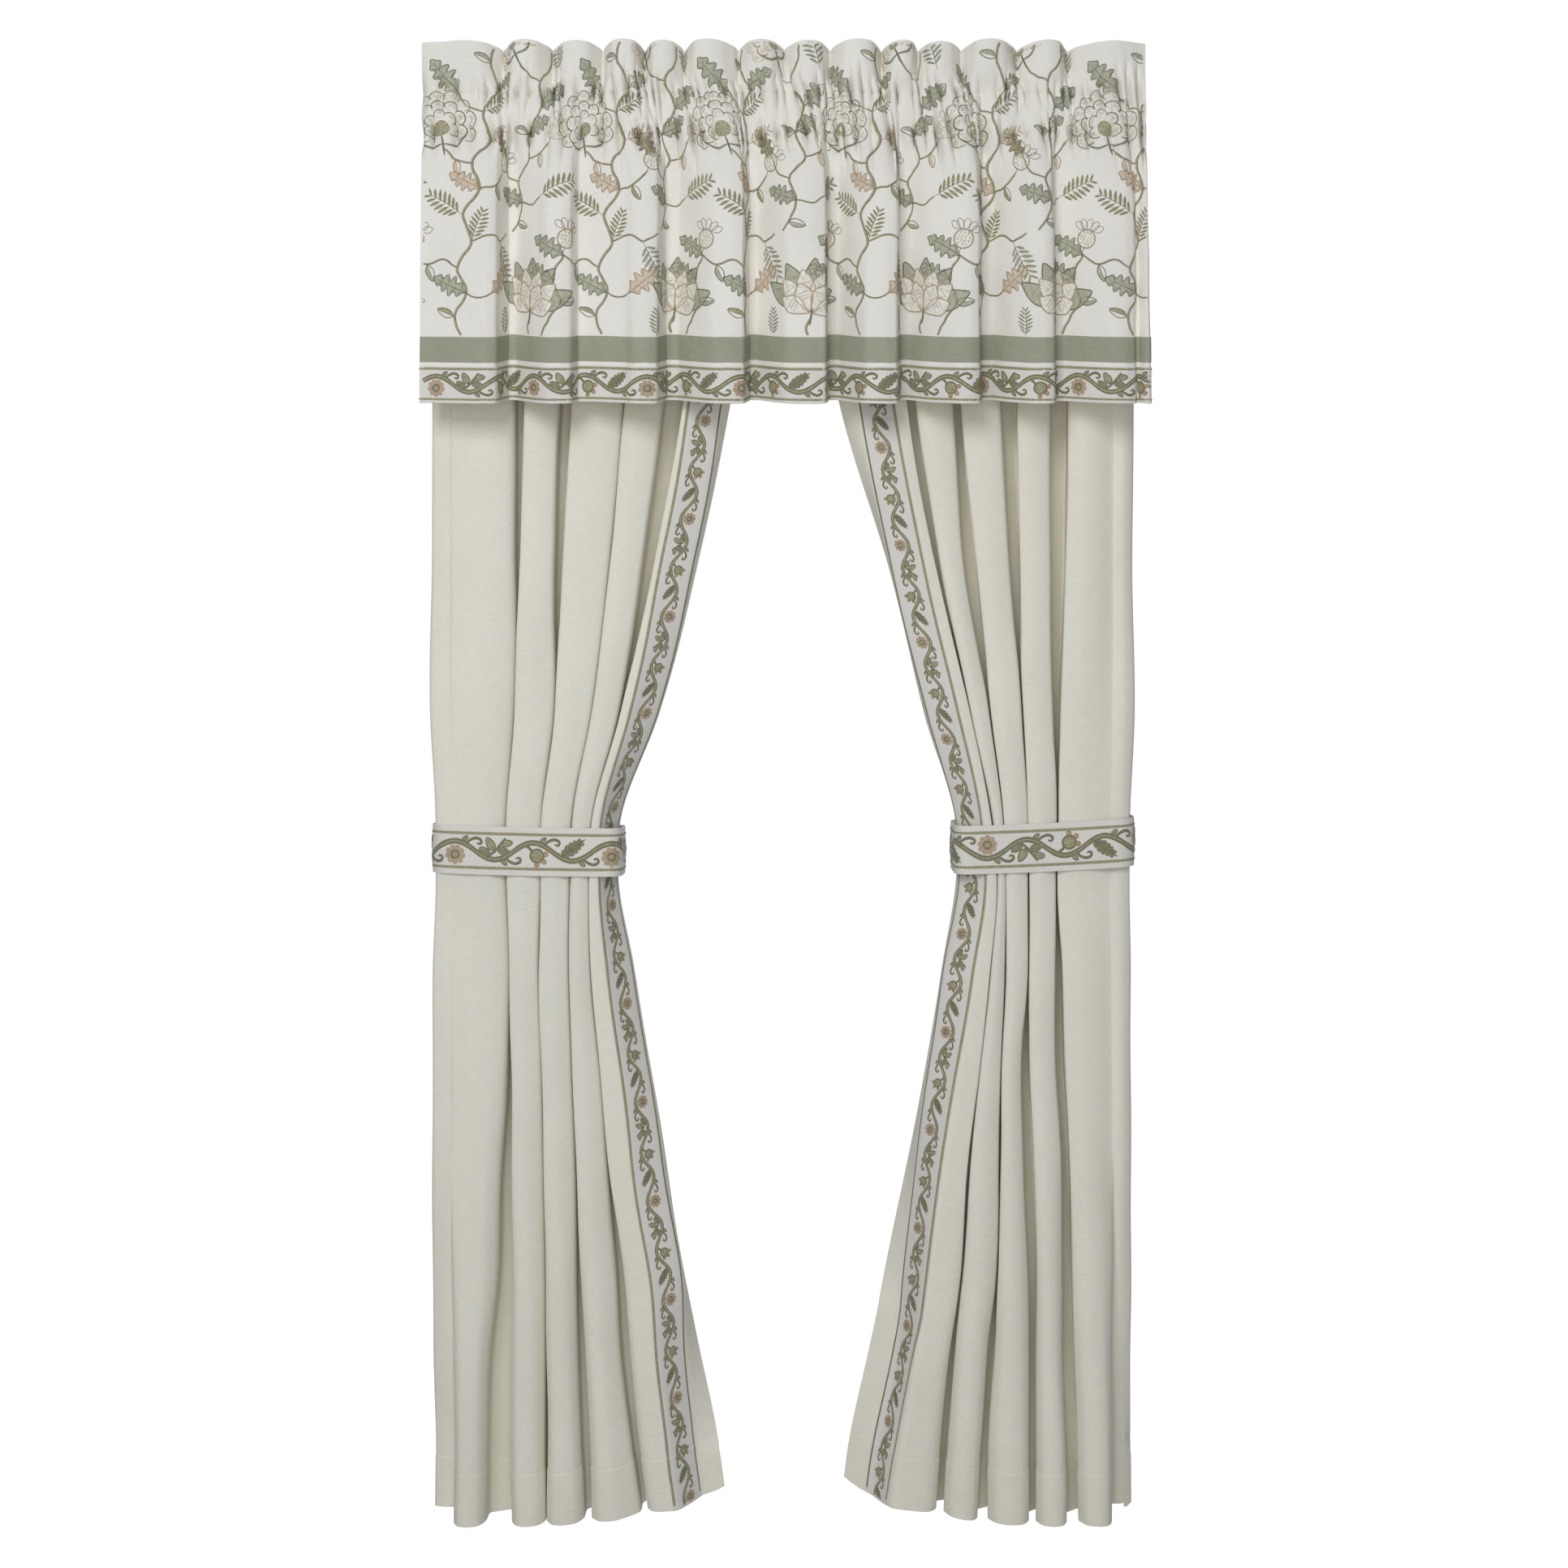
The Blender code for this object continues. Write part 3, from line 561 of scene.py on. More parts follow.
def tieSurface(side):
    # the ring round the gathered cloth, seen from above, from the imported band's own box
    low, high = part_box(f"tieback_{side}")
    inset = tie["thickness"] / 2 + tie["bow"] + tie["clear"]
    flip = -1.0 if side == "right" else 1.0
    reach = sorted((flip * low[0], flip * high[0]))
    low = np.array([reach[0], low[1]]) + inset
    high = np.array([reach[1], high[1]]) - inset
    places = ((high[0], low[1]), (high[0], high[1]), (low[0], high[1]), (low[0], low[1]))
    inward = ((-1, 1), (-1, -1), (1, -1), (1, 1))
    arcs = []
    for quarter, radius in enumerate(tie["corners"]):
        centre = np.array(places[quarter]) + np.array(inward[quarter]) * radius
        angles = (quarter - 1 + np.linspace(0, 1, tie["cornerSteps"])) * math.pi / 2
        arcs.append(centre + radius * np.column_stack([np.cos(angles), np.sin(angles)]))
    outline = []
    for quarter in range(4):
        following = arcs[(quarter + 1) % 4][0]
        outline += list(arcs[quarter])
        run = following - arcs[quarter][-1]
        steps = max(int(np.hypot(*run) / tie["runStep"]), 1)
        outline += [arcs[quarter][-1] + run * step / steps for step in range(1, steps)]
    outline = np.array(outline)
    behind = int(np.argmin(np.hypot(*(outline - ((low[0] + high[0]) / 2, high[1])).T)))
    outline = np.roll(outline, -behind, axis=0)      # the join goes round the back
    ring = np.roll(outline, -1, axis=0) - np.roll(outline, 1, axis=0)
    out = np.column_stack([ring[:, 1], -ring[:, 0]])
    out /= np.linalg.norm(out, axis=1)[:, None]
    across, depth = ((outline - (low + high) / 2) / ((high - low) / 2)).T
    settings = tie[side]
    lift = settings["backLift"] * (depth + 1) / 2 - settings["rise"] * across
    lift -= tie["sag"] * (1 - across**2) * (1 - depth) / 2
    shares = np.linspace(0.5, -0.5, tie["rows"])
    points = np.zeros((tie["rows"], len(outline), 3))
    normals = np.zeros_like(points)
    for row, share in enumerate(shares):
        bow = tie["bow"] * (1 - abs(share) * 2)
        points[row, :, :2] = outline + out * bow
        points[row, :, 2] = settings["height"] + lift + share * tie["height"]
        normals[row, :, :2] = out
    steps = np.hypot(*(np.roll(outline, -1, axis=0) - outline).T)
    around = np.concatenate([[0], np.cumsum(steps)])
    surface = {"points": points, "normals": normals, "u": around[:-1], "v": (0.5 - shares) * tie["height"]}
    if side == "right":
        surface = mirrored(surface)
        surface["u"] = around[-1] - steps[-1] - around[:-1][::-1]
    surface["length"] = around[-1]
    return surface


def buildTie(side):
    surface = tieSurface(side)
    half = surface["normals"] * tie["thickness"] / 2
    name = f"tie{side.title()}"
    piece = closedRing(name, surface["points"] - half, surface["points"] + half, [cloths["borderGround"]],
                       surface["u"], surface["v"])
    finishPiece(piece, "border_cloth", f"tieback_{side}")
    return surface


def joined(ring):
    # the ring as a strip whose two ends meet
    whole = {part: np.concatenate([ring[part], ring[part][:, :1]], axis=1) for part in ("points", "normals")}
    return {**whole, "u": np.append(ring["u"], ring["length"]), "v": ring["v"], "length": ring["length"]}


tieSurfaces = {"left": buildTie("left"), "right": buildTie("right")}
print("ties round the panels")

# lobes of the header: left valley, right valley, how far forward
headerLobes = (
    (-516, -403, 0.93), (-403, -332, 1.00), (-332, -260, 0.92), (-260, -200, 1.05),
    (-200, -144, 0.96), (-144, -66, 1.04), (-66, 0, 1.00), (0, 66, 0.94),
    (66, 140, 1.06), (140, 192, 0.97), (192, 254, 0.86), (254, 334, 1.05),
    (334, 407, 0.98), (407, 516, 0.90),
)
# folds of the skirt, each from its valley's floor over a shallow ledge to the face's own sharp edge,
# then how deep that valley is
skirtFolds = (
    (-516, -502, -462, -440, -408, 0.25), (-396, -384, -360, -336, -303, 1.00),
    (-294, -284, -226, -212, -180, 0.60), (-170, -152, -126, -99, -58, 1.00),
    (-50, -38, -16, 6, 58, 1.00), (64, 79, 98, 118, 159, 1.00), (166, 180, 204, 244, 275, 1.00),
    (283, 299, 320, 350, 380, 1.05), (387, 402, 432, 462, 495, 0.75), (498, 503, 507, 511, 516, 0.25),
)
# height, share of the skirt's folds, share of full depth, how far forward it stands
valanceProfile = (
    (99, 0.00, 1.00, 0), (72, 0.00, 0.97, 1), (47, 0.08, 0.74, 0), (30, 0.28, 0.34, -2),
    (-2, 0.50, 0.42, 5), (-33, 0.72, 0.30, -2), (-64, 0.90, 0.60, 4), (-125, 1.00, 0.88, 8),
    (-225, 1.00, 1.00, 12), (-330, 1.00, 1.04, 15), (-368, 1.00, 1.06, 16), (-424, 1.00, 1.08, 17),
)
valance = {
    "flatWidth": 1.66, "top": 0.099, "headerDepth": 0.038, "skirtDepth": 0.050, "columns": 760,
    "thickness": 0.0012, "doubled": 0.0024, "crisp": 0.0035, "floorRadius": 0.005, "soft": 0.016,
    # how far out parts of a skirt fold stand, in shares of its depth
    "ledge": 0.45, "crown": -0.98, "face": -1.03, "edge": -0.93,
    "ripple": 0.0008, "rippleSeed": 33, "rippleCount": 9, "rippleReach": (0.05, 0.10),
    # the top is drawn down and the hem drawn up a little in the valleys
    "dip": 0.006, "dipFoot": 0.040, "dipReach": 0.010, "lift": 0.015, "liftReach": 0.2,
    # the two gathering seams: heights, widths of the puckers, their reach above and below
    "pocketTop": 0.028, "pocketFoot": -0.031, "pucker": 0.034, "pleats": 180,
    "seamGroove": 0.0012, "seamHalf": {"pocketTop": 0.0010, "pocketFoot": 0.0020}, "turnedIn": 0.004,
    "puckers": {"pocketTop": (0.016, 0.036), "pocketFoot": (0.018, 0.044)},
    "puckerReach": {"pocketTop": (0.015, 0.018), "pocketFoot": (0.017, 0.026)},
    "seeds": {"pocketTop": 21, "pocketFoot": 34},
    "band": (-0.330, -0.366), "border": (-0.372, -0.424), "strapRows": 12,
}


def evenWave(corners, depth, columns):
    path = roundedPath([(x, y * depth, radius, 8) for x, y, radius in corners], 2)
    along = np.concatenate([[0], np.cumsum(np.hypot(*np.diff(path, axis=0).T))])
    steps = np.linspace(0, along[-1], columns)
    return np.column_stack([np.interp(steps, along, path[:, 0]), np.interp(steps, along, path[:, 1])])


def headerWave():
    # broad round lobes with narrow valleys between them, no two quite alike
    corners = []
    for left, right, forward in headerLobes:
        left, right = left * mm, right * mm
        lean = 0.06 * math.sin(left * 97)
        # the cloth's two raw edges stand forward
        start, rise = (0.0, 0.42) if corners else (0.70, 0.80)
        last = 0.76 if right == headerLobes[-1][1] * mm else 0.40
        for at, out in ((0.0, start), (0.10, rise), (0.28 + lean, 0.86), (0.52 + lean, 1.0),
                        (0.76 + lean, 0.86), (0.92, last)):
            corners.append((left + at * (right - left), -out * forward, 0.006 if at == 0 else 0.020))
    corners.append((headerLobes[-1][1] * mm, -0.62, 0.0))
    wave = evenWave(corners, valance["headerDepth"], valance["columns"])
    wave[:, 1] += valance["headerDepth"] / 2
    return wave


def skirtWave():
    corners = []
    for start, end, ledge, crown, edge, deep in skirtFolds:
        floor = -1 + deep
        face = edge - crown
        corners += [(start * mm, floor, valance["crisp"]), (end * mm, floor, valance["floorRadius"]),
                    (ledge * mm, -1 + valance["ledge"] * deep, valance["soft"]),
                    (crown * mm, valance["crown"], valance["soft"]),
                    ((crown + 0.6 * face) * mm, valance["face"], valance["soft"]),
                    (edge * mm, valance["edge"], valance["crisp"])]
    wave = evenWave(corners, valance["skirtDepth"], valance["columns"])
    wave[:, 1] += valance["skirtDepth"] / 2
    return wave


def gathers(seam):
    # small pleats drawn up by a seam's thread: uneven humps between pinched valleys
    rng = np.random.default_rng(valance["seeds"][seam])
    across = np.linspace(0, 1.7, valance["columns"])
    count = valance["pleats"]
    ends = np.concatenate([[0], np.cumsum(rng.uniform(*valance["puckers"][seam], count))])
    sizes = rng.uniform(0.25, 1.0, count + 1)
    # about a third of the pleats run on twice as far
    reaches = rng.uniform(0.6, 1.0, count + 1) * np.where(rng.random(count + 1) < 0.3, 2.0, 1.0)
    hump = np.searchsorted(ends, across, side="right") - 1
    within = (across - ends[hump]) / (ends[hump + 1] - ends[hump])
    pleats = (np.abs(2 * within - 1)**2.6 - 0.4) * sizes[hump]
    spread = np.array([0.15, 0.7, 0.15])
    return np.convolve(np.pad(pleats, 1, mode="edge"), spread, mode="valid"), reaches[hump]


def valanceGrid():
    header, skirt = headerWave(), skirtWave()
    # rows stand closer at the seams and the borders
    heights = np.concatenate([np.linspace(valance["top"], 0.040, 10), [0.034, 0.0305, 0.028, 0.0255, 0.021],
                              np.linspace(0.014, -0.022, 7), [-0.0275, -0.031, -0.0345],
                              np.linspace(-0.040, -0.110, 10), np.linspace(-0.128, -0.322, 12),
                              [-0.332, -0.349, -0.366, -0.3735, -0.390, -0.406], [-0.4165, -0.4185, -0.424]])
    profile = np.array(valanceProfile, float)
    share, depth, forward = readCurve(profile[:, 0] * mm, profile[:, 1:], heights).T
    drawn = {seam: gathers(seam) for seam in valance["puckers"]}
    grid = np.zeros((len(heights), valance["columns"], 3))
    for row, height in enumerate(heights):
        mixed = header * (1 - share[row]) + skirt * share[row]
        grid[row, :, 0] = mixed[:, 0]
        grid[row, :, 1] = mixed[:, 1] * depth[row] - forward[row] * mm
        grid[row, :, 2] = height
        sink = np.clip((height - valance["dipFoot"]) / valance["dipReach"], 0, 1) * valance["dip"]
        grid[row, :, 2] -= sink * (header[:, 1] / valance["headerDepth"] + 0.5)
        lift = np.clip((valance["pocketFoot"] - height) / valance["liftReach"], 0, 1) * valance["lift"]
        grid[row, :, 2] += lift * np.clip(skirt[:, 1] / valance["skirtDepth"] + 0.5, 0, 1)
        for seam, (pleats, reach) in drawn.items():
            away = height - valance[seam]
            spread = valance["puckerReach"][seam][0 if away > 0 else 1]
            grid[row, :, 1] += pleats * valance["pucker"] * np.exp(-(away / (spread * reach))**2)
    flatAcross = arcAcross(grid[heights < -0.2]).mean(axis=0)
    down = valance["top"] - heights
    uneven = ripples(flatAcross[None, :], down[:, None], valance["rippleSeed"], valance["rippleCount"],
                     valance["rippleReach"])
    grid += unitNormals(grid) * (uneven * valance["ripple"])[:, :, None]
    return grid, heights, flatAcross, down


def stripOf(grid, heights, flatAcross, top, foot, rows):
    # the part of a grid between two heights, as a surface
    wanted = np.linspace(top, foot, rows)
    normals = unitNormals(grid)
    made = {"points": np.zeros((rows, grid.shape[1], 3)), "u": flatAcross, "v": top - wanted}
    made["normals"] = np.zeros_like(made["points"])
    for column in range(grid.shape[1]):
        for axis in range(3):
            made["points"][:, column, axis] = np.interp(-wanted, -heights, grid[:, column, axis])
            made["normals"][:, column, axis] = np.interp(-wanted, -heights, normals[:, column, axis])
    return made


def buildValance():
    grid, heights, flatAcross, down = valanceGrid()
    # the cloth is doubled down to just under the lower seam and drawn in along both
    doubled = heights > valance["pocketFoot"] - valance["turnedIn"]
    thickness = np.where(doubled, valance["doubled"], valance["thickness"])
    for seam, half in valance["seamHalf"].items():
        thickness = thickness - (np.abs(heights - valance[seam]) < half) * valance["seamGroove"]
    piece = closedCloth("valanceSkirt", grid, thickness, [cloths["printGround"]], flatAcross, down)
    finishPiece(piece, "valance_cloth", "valance")
    lift = valance["thickness"] / 2 + trim["gap"] + trim["thickness"] / 2
    normals = unitNormals(grid)
    face = grid + normals * thickness[:, None, None] / 2
    made = {"ground": {"points": face, "normals": normals, "u": flatAcross, "v": down}}
    for name, part, cloth, slot, node in (
            ("valanceBand", "band", "sageCloth", "sage_cloth", "valance_band"),
            ("valanceBorder", "border", "borderGround", "border_cloth", "valance_border")):
        strip = stripOf(grid, heights, flatAcross, *valance[part], valance["strapRows"])
        points = strip["points"] + strip["normals"] * lift
        strap = closedCloth(name, points, trim["thickness"], [cloths[cloth]], strip["u"], strip["v"])
        finishPiece(strap, slot, node)
        made[part] = strip
    print("valance cloth is", round(float(flatAcross[-1]), 3), "m along its hem")
    return made


valanceStrips = buildValance()
print("valance gathered")

# embroidery: raised threads and fills, drawn on a hoop in flat cloth places and then sewn on
threads = {
    # linear colours of the yarns
    "oliveThread": (0.190, 0.183, 0.100), "oliveLight": (0.370, 0.345, 0.210),
    "sageThread": (0.255, 0.255, 0.160), "sageDark": (0.150, 0.150, 0.092),
    "sagePale": (0.440, 0.440, 0.325), "brownThread": (0.370, 0.250, 0.138),
    "tanThread": (0.450, 0.340, 0.225), "blushThread": (0.660, 0.560, 0.430),
    "creamThread": (0.800, 0.770, 0.665),
}
threadNames = list(threads)
# layers of work stand on one another; a fill's rings are this far apart at most
stitching = {"step": 0.0032, "rise": 0.00030, "sink": 0.00005, "layer": 0.45, "plump": 0.06,
             "lip": 0.6, "ring": 0.0042, "twist": 0.0011, "dye": 170.0}


def threadMaterial(name):
    # satin-stitched yarn: fine ridges across each stroke, with uneven dye
    material, tree = newMaterial(name, {"Roughness": 0.62, "Sheen Weight": 0.10, "Specular IOR Level": 0.30})
    flat = addNode(tree, "ShaderNodeUVMap", uv_map="flatCloth").outputs["UV"]
    ridges = noiseOn(tree, flat, 1 / stitching["twist"])
    mixed = sumOf(tree, ridges, noiseOn(tree, flat, stitching["dye"]))
    setInputs(tree, tree.nodes["Principled BSDF"], {
        "Base Color": tinted(tree, mixed, threads[name], 0.68, 1.30, (0.6, 1.4)),
        "Normal": raised(tree, ridges, 0.5, 0.0004)})
    return material


yarns = [threadMaterial(name) for name in threadNames]


def newHoop():
    return {"points": [], "lifts": [], "faces": [], "slots": [], "count": 0, "thread": 1.0}


def addFlat(hoop, points, lifts, faces, yarn):
    hoop["points"].append(np.asarray(points, float))
    hoop["lifts"].append(np.asarray(lifts, float))
    hoop["faces"] += [tuple(hoop["count"] + i for i in face) for face in faces]
    hoop["slots"] += [threadNames.index(yarn)] * len(faces)
    hoop["count"] += len(points)


def smoothLine(points, step):
    # a smooth curve through a few points, stepped evenly
    points = np.asarray(points, float)
    if len(points) > 2:
        along = np.concatenate([[0], np.cumsum(np.hypot(*np.diff(points, axis=0).T))])
        points = readCurve(along, points, np.linspace(0, along[-1], max(len(points) * 6, 12)))
    along = np.concatenate([[0], np.cumsum(np.hypot(*np.diff(points, axis=0).T))])
    count = max(int(round(along[-1] / step)), 2)
    wanted = np.linspace(0, along[-1], count + 1)
    return np.column_stack([np.interp(wanted, along, points[:, axis]) for axis in (0, 1)])


def addStroke(hoop, points, width, yarn, layer, taper, step=None):
    # one stitched line: a low ridge with its underside closed
    width *= hoop["thread"]
    line = smoothLine(points, step or stitching["step"])
    ahead = np.gradient(line, axis=0)
    ahead /= np.maximum(np.hypot(*ahead.T), 1e-9)[:, None]
    side = np.column_stack([-ahead[:, 1], ahead[:, 0]])
    share = np.linspace(0, 1, len(line))
    half = width / 2 * (taper + (1 - taper) * np.sqrt(np.clip(np.sin(math.pi * share), 0, 1)))[:, None]
    low = stitching["sink"] + layer * stitching["rise"] * stitching["layer"]
    high = low + stitching["rise"] + width * stitching["plump"]
    n = len(line)
    points = np.concatenate([line - side * half, line, line + side * half])
    lifts = np.concatenate([np.full(n, low), np.full(n, high), np.full(n, low)])
    faces = []
    for i in range(n - 1):
        faces += [(i, i + 1, n + i + 1, n + i), (n + i, n + i + 1, 2 * n + i + 1, 2 * n + i)]
        faces.append((2 * n + i, 2 * n + i + 1, i + 1, i))
    faces += [(0, n, 2 * n), (2 * n - 1, n - 1, 3 * n - 1)]
    addFlat(hoop, points, lifts, faces, yarn)


def addFill(hoop, outline, yarn, layer, dome):
    # a filled shape: rings toward its middle, closed underneath
    outline = smoothLine(list(outline) + [outline[0]], stitching["step"] * 1.1)[:-1]
    area = np.sum(outline[:, 0] * np.roll(outline[:, 1], -1) - np.roll(outline[:, 0], -1) * outline[:, 1])
    if area < 0:
        outline = outline[::-1]
    middle = outline.mean(axis=0)
    reach = float(np.hypot(*(outline - middle).T).max())
    rings = max(int(math.ceil(reach / stitching["ring"])), 2)
    low = stitching["sink"] + layer * stitching["rise"] * stitching["layer"]
    n = len(outline)
    points, lifts = [], []
    for ring in range(rings):
        inward = ring / rings
        points.append(outline + (middle - outline) * inward)
        lifts.append(np.full(n, low + stitching["rise"] * stitching["lip"] * min(ring, 1) + dome * inward))
    points.append(middle[None])
    lifts.append([low + stitching["rise"] * stitching["lip"] + dome])
    faces = []
    for ring in range(rings - 1):
        a, b = ring * n, (ring + 1) * n
        faces += [(a + i, a + (i + 1) % n, b + (i + 1) % n, b + i) for i in range(n)]
    tip = rings * n
    faces += [((rings - 1) * n + i, (rings - 1) * n + (i + 1) % n, tip) for i in range(n)]
    # the underside follows the cloth ring by ring too
    base = tip + 1
    for ring in range(1, rings):
        points.append(outline + (middle - outline) * ring / rings)
        lifts.append(np.full(n, low))
    points.append(middle[None])
    lifts.append([low])
    for ring in range(rings - 1):
        a = 0 if ring == 0 else base + (ring - 1) * n
        b = base + ring * n
        faces += [(a + (i + 1) % n, a + i, b + i, b + (i + 1) % n) for i in range(n)]
    last = base + (rings - 2) * n
    under = base + (rings - 1) * n
    faces += [(last + (i + 1) % n, last + i, under) for i in range(n)]
    addFlat(hoop, np.concatenate(points), np.concatenate(lifts), faces, yarn)


def turnedBy(points, degrees):
    angle = math.radians(degrees)
    cos, sin = math.cos(angle), math.sin(angle)
    return np.column_stack([points[:, 0] * cos + points[:, 1] * sin, points[:, 1] * cos - points[:, 0] * sin])


def placed(points, at, turn, size, flip):
    # a motif drawn pointing up the cloth, turned and set in its place; v runs down
    points = np.asarray(points, float) * size
    points[:, 0] *= flip
    points = turnedBy(points, turn)
    return np.column_stack([at[0] + points[:, 0], at[1] - points[:, 1]])


def outFrom(centre, reach, angle):
    # a place at a clockwise angle from straight up
    return centre[0] + reach * math.sin(angle), centre[1] + reach * math.cos(angle)


def arcPoints(centre, radius, start, end, count=9):
    angles = np.radians(np.linspace(start, end, count))
    return np.column_stack([centre[0] + radius * np.sin(angles), centre[1] + radius * np.cos(angles)])


def pens(hoop, lay):
    # filling and stroking on one hoop, through one way of laying places down
    def fill(outline, yarn, layer=0, dome=0.0003):
        addFill(hoop, lay(outline), yarn, layer, dome)

    def stroke(line, width, yarn, layer=0, taper=0.25, step=None):
        addStroke(hoop, lay(line), width, yarn, layer, taper, step)

    return fill, stroke


# motifs, in metres, each growing up from its own stalk's foot
leaf = {"length": 0.036, "half": 0.0105, "foot": 0.004, "step": 0.0072, "lobes": (0.72, 1.0, 0.86, 0.58)}
feather = {"foot": 0.006, "step": 0.0050, "reach": 0.0115,
           "leaflets": (0.70, 0.92, 1.0, 0.96, 0.84, 0.66, 0.44)}


def lobedLeaf(fill, stroke, body, rim):
    # an even leaf of rounded lobes with a vein to each
    lobes = [(leaf["foot"] + number * leaf["step"], leaf["half"] * share)
             for number, share in enumerate(leaf["lobes"])]
    edge = [(0.0, 0.0)]
    for foot, swell in lobes:
        edge += [(0.35 * swell, foot), (swell, foot + 0.0040), (0.50 * swell, foot + 0.0068)]
    side = np.array(edge + [(0.0, leaf["length"])])
    outline = np.concatenate([side, side[-2:0:-1] * (-1, 1)])
    fill(outline, body)
    stroke(np.concatenate([outline, outline[:1]]), 0.0012, rim, 2, 0.8)
    stroke([(0, -0.004), (0.0006, 0.016), (0, leaf["length"] - 0.004)], 0.0010, rim, 3)
    for foot, swell in lobes:
        for hand in (-1, 1):
            stroke([(0, foot - 0.0005), (hand * swell * 0.75, foot + 0.0042)], 0.0006, rim, 3)


def featherLeaf(fill, stroke, body, rim):
    # a rib with slender leaflets along both sides
    stroke([(0, 0), (0.0015, 0.018), (0, 0.040)], 0.0011, rim, 1)
    for pair, share in enumerate(feather["leaflets"]):
        foot = feather["foot"] + pair * feather["step"]
        for hand in (-1, 1):
            reach = hand * feather["reach"] * share
            tip = (reach, foot + 0.0062)
            fill([(0, foot), (reach * 0.45, foot + 0.0012), tip, (reach * 0.40, foot + 0.0048)], body)
            stroke([(0, foot), tip], 0.0011, rim, 2)


def smallLeaf(fill, stroke, body, rim):
    # an almond leaf, in outline with a half fill
    outline = [(0, 0), (0.0030, 0.0045), (0.0026, 0.0095), (0, 0.0140), (-0.0026, 0.0095), (-0.0030, 0.0045)]
    fill(outline[:4], body)
    stroke(outline + outline[:1], 0.0012, rim, 2, 0.8)
    stroke([(0, 0), (0, 0.0105)], 0.0005, rim, 3)


seedPod = {"middle": (0, 0.0125), "radius": 0.0085, "rows": (3, 4, 4, 3), "step": 0.0034,
           "collar": (-58, -30, 0, 30, 58)}


def seedHead(fill, stroke, body, rim):
    # a round head dotted with seeds over a leafy collar
    fill(arcPoints(seedPod["middle"], seedPod["radius"], 0, 330, 12), "creamThread")
    stroke(arcPoints(seedPod["middle"], seedPod["radius"], 0, 360, 17), 0.0017, body, 2, 0.9)
    for row, count in enumerate(seedPod["rows"]):
        low = row * seedPod["step"]
        for place in range(count):
            x = (place - (count - 1) / 2) * seedPod["step"]
            stroke([(x, 0.0070 + low), (x, 0.0086 + low)], 0.0010, rim, 3, 0.6, 0.0016)
    for lean in seedPod["collar"]:
        sin, cos = math.sin(math.radians(lean)), math.cos(math.radians(lean))
        tip = np.array([0.0165 * sin, 0.0190 + 0.0125 * cos])
        foot = np.array([0.0055 * sin, 0.0205])
        swell = 0.0032 * np.array([cos, -sin])
        middle = (tip + foot) / 2
        petal = [foot, middle + swell, tip, middle - swell, foot]
        stroke(petal, 0.0009, rim if lean % 60 else body, 1, 0.8)
    stroke([(0, -0.006), (0.001, 0), (0, 0.004)], 0.0014, rim, 1)


# a row's distance from the middle, scales, their radius and whether they take the rim's yarn
scales = {"middle": (0, 0.022), "fan": 112, "eye": (0, 0.020), "eyeRadius": 0.0075, "rays": 8,
          "rows": ((0.0270, 9, 0.0078, False), (0.0185, 7, 0.0068, True), (0.0105, 5, 0.0056, False))}


def roundel(fill, stroke, body, rim):
    # a wide flower: three rows of rounded scales over a rayed middle
    for row, (radius, count, scale, dark) in enumerate(scales["rows"]):
        for place in range(count):
            lean = -scales["fan"] + 2 * scales["fan"] * place / (count - 1)
            centre = outFrom(scales["middle"], radius, math.radians(lean))
            petal = arcPoints(centre, scale, lean - 100, lean + 100, 9)
            fill(petal, "creamThread", 1 + row, 0.0001)
            stroke(petal, 0.0015, rim if dark else body, 2 + row, 0.7)
            for ray in (-34, 0, 34):
                angle = math.radians(lean + ray)
                line = [outFrom(centre, share * scale, angle) for share in (0.25, 0.72)]
                stroke(line, 0.0005, rim, 3 + row, 0.7)
    fill(arcPoints(scales["eye"], scales["eyeRadius"], 0, 330, 12), "oliveLight", 5)
    for ray in range(scales["rays"]):
        tip = outFrom(scales["eye"], 0.0064, math.radians(ray * 360 / scales["rays"]))
        stroke([scales["eye"], tip], 0.0006, "creamThread", 6, 0.8)
    for hand in (-1, 1):
        sepal = [(0, 0.004), (hand * 0.012, 0.002), (hand * 0.023, 0.010)]
        stroke(sepal, 0.0030, "sageThread", 6)
    stroke([(0, -0.008), (0, 0.013)], 0.0026, "oliveThread", 6)


# petals of a row: leans, length, half width and ground; the front rows take the body's yarn
cup = {"rows": (((-62, -31, 0, 31, 62), 0.050, 0.0085, "sagePale"),
                ((-44, -15, 15, 44), 0.040, 0.0082, "creamThread"),
                ((-66, -25, 25, 66), 0.029, 0.0080, "creamThread")),
       # half a petal, in shares of its half width and length
       "side": ((0, 0.002), (0.55, 0.30), (1.0, 0.62), (0.42, 0.90)), "bars": (0.50, 0.60, 0.70)}


def cupFlower(fill, stroke, body, rim):
    # an open cup of pointed petals, back row first
    for layer, (leans, length, width, ground) in enumerate(cup["rows"]):
        half = [(x * width, y * length if x else y) for x, y in cup["side"]]
        shape = np.array(half + [(0, length)] + [(-x, y) for x, y in half[:0:-1]])
        for lean in leans:
            petal = turnedBy(shape, lean)
            fill(petal, ground, 1 + 2 * layer, 0.0001)
            stroke(np.concatenate([petal, petal[:1]]), 0.0017, body if layer else rim, 2 + 2 * layer, 0.8)
            for bar in cup["bars"]:
                cross = np.array([(-0.55 * width, bar * length), (0.55 * width, bar * length)])
                stroke(turnedBy(cross, lean), 0.0005, rim, 3 + 2 * layer, 0.7)
    stroke([(0, -0.010), (0.001, 0.006)], 0.0030, "oliveThread", 7)


motifs = {"lobed": lobedLeaf, "feather": featherLeaf, "small": smallLeaf, "seed": seedHead,
          "roundel": roundel, "cup": cupFlower}
print("thread ready")

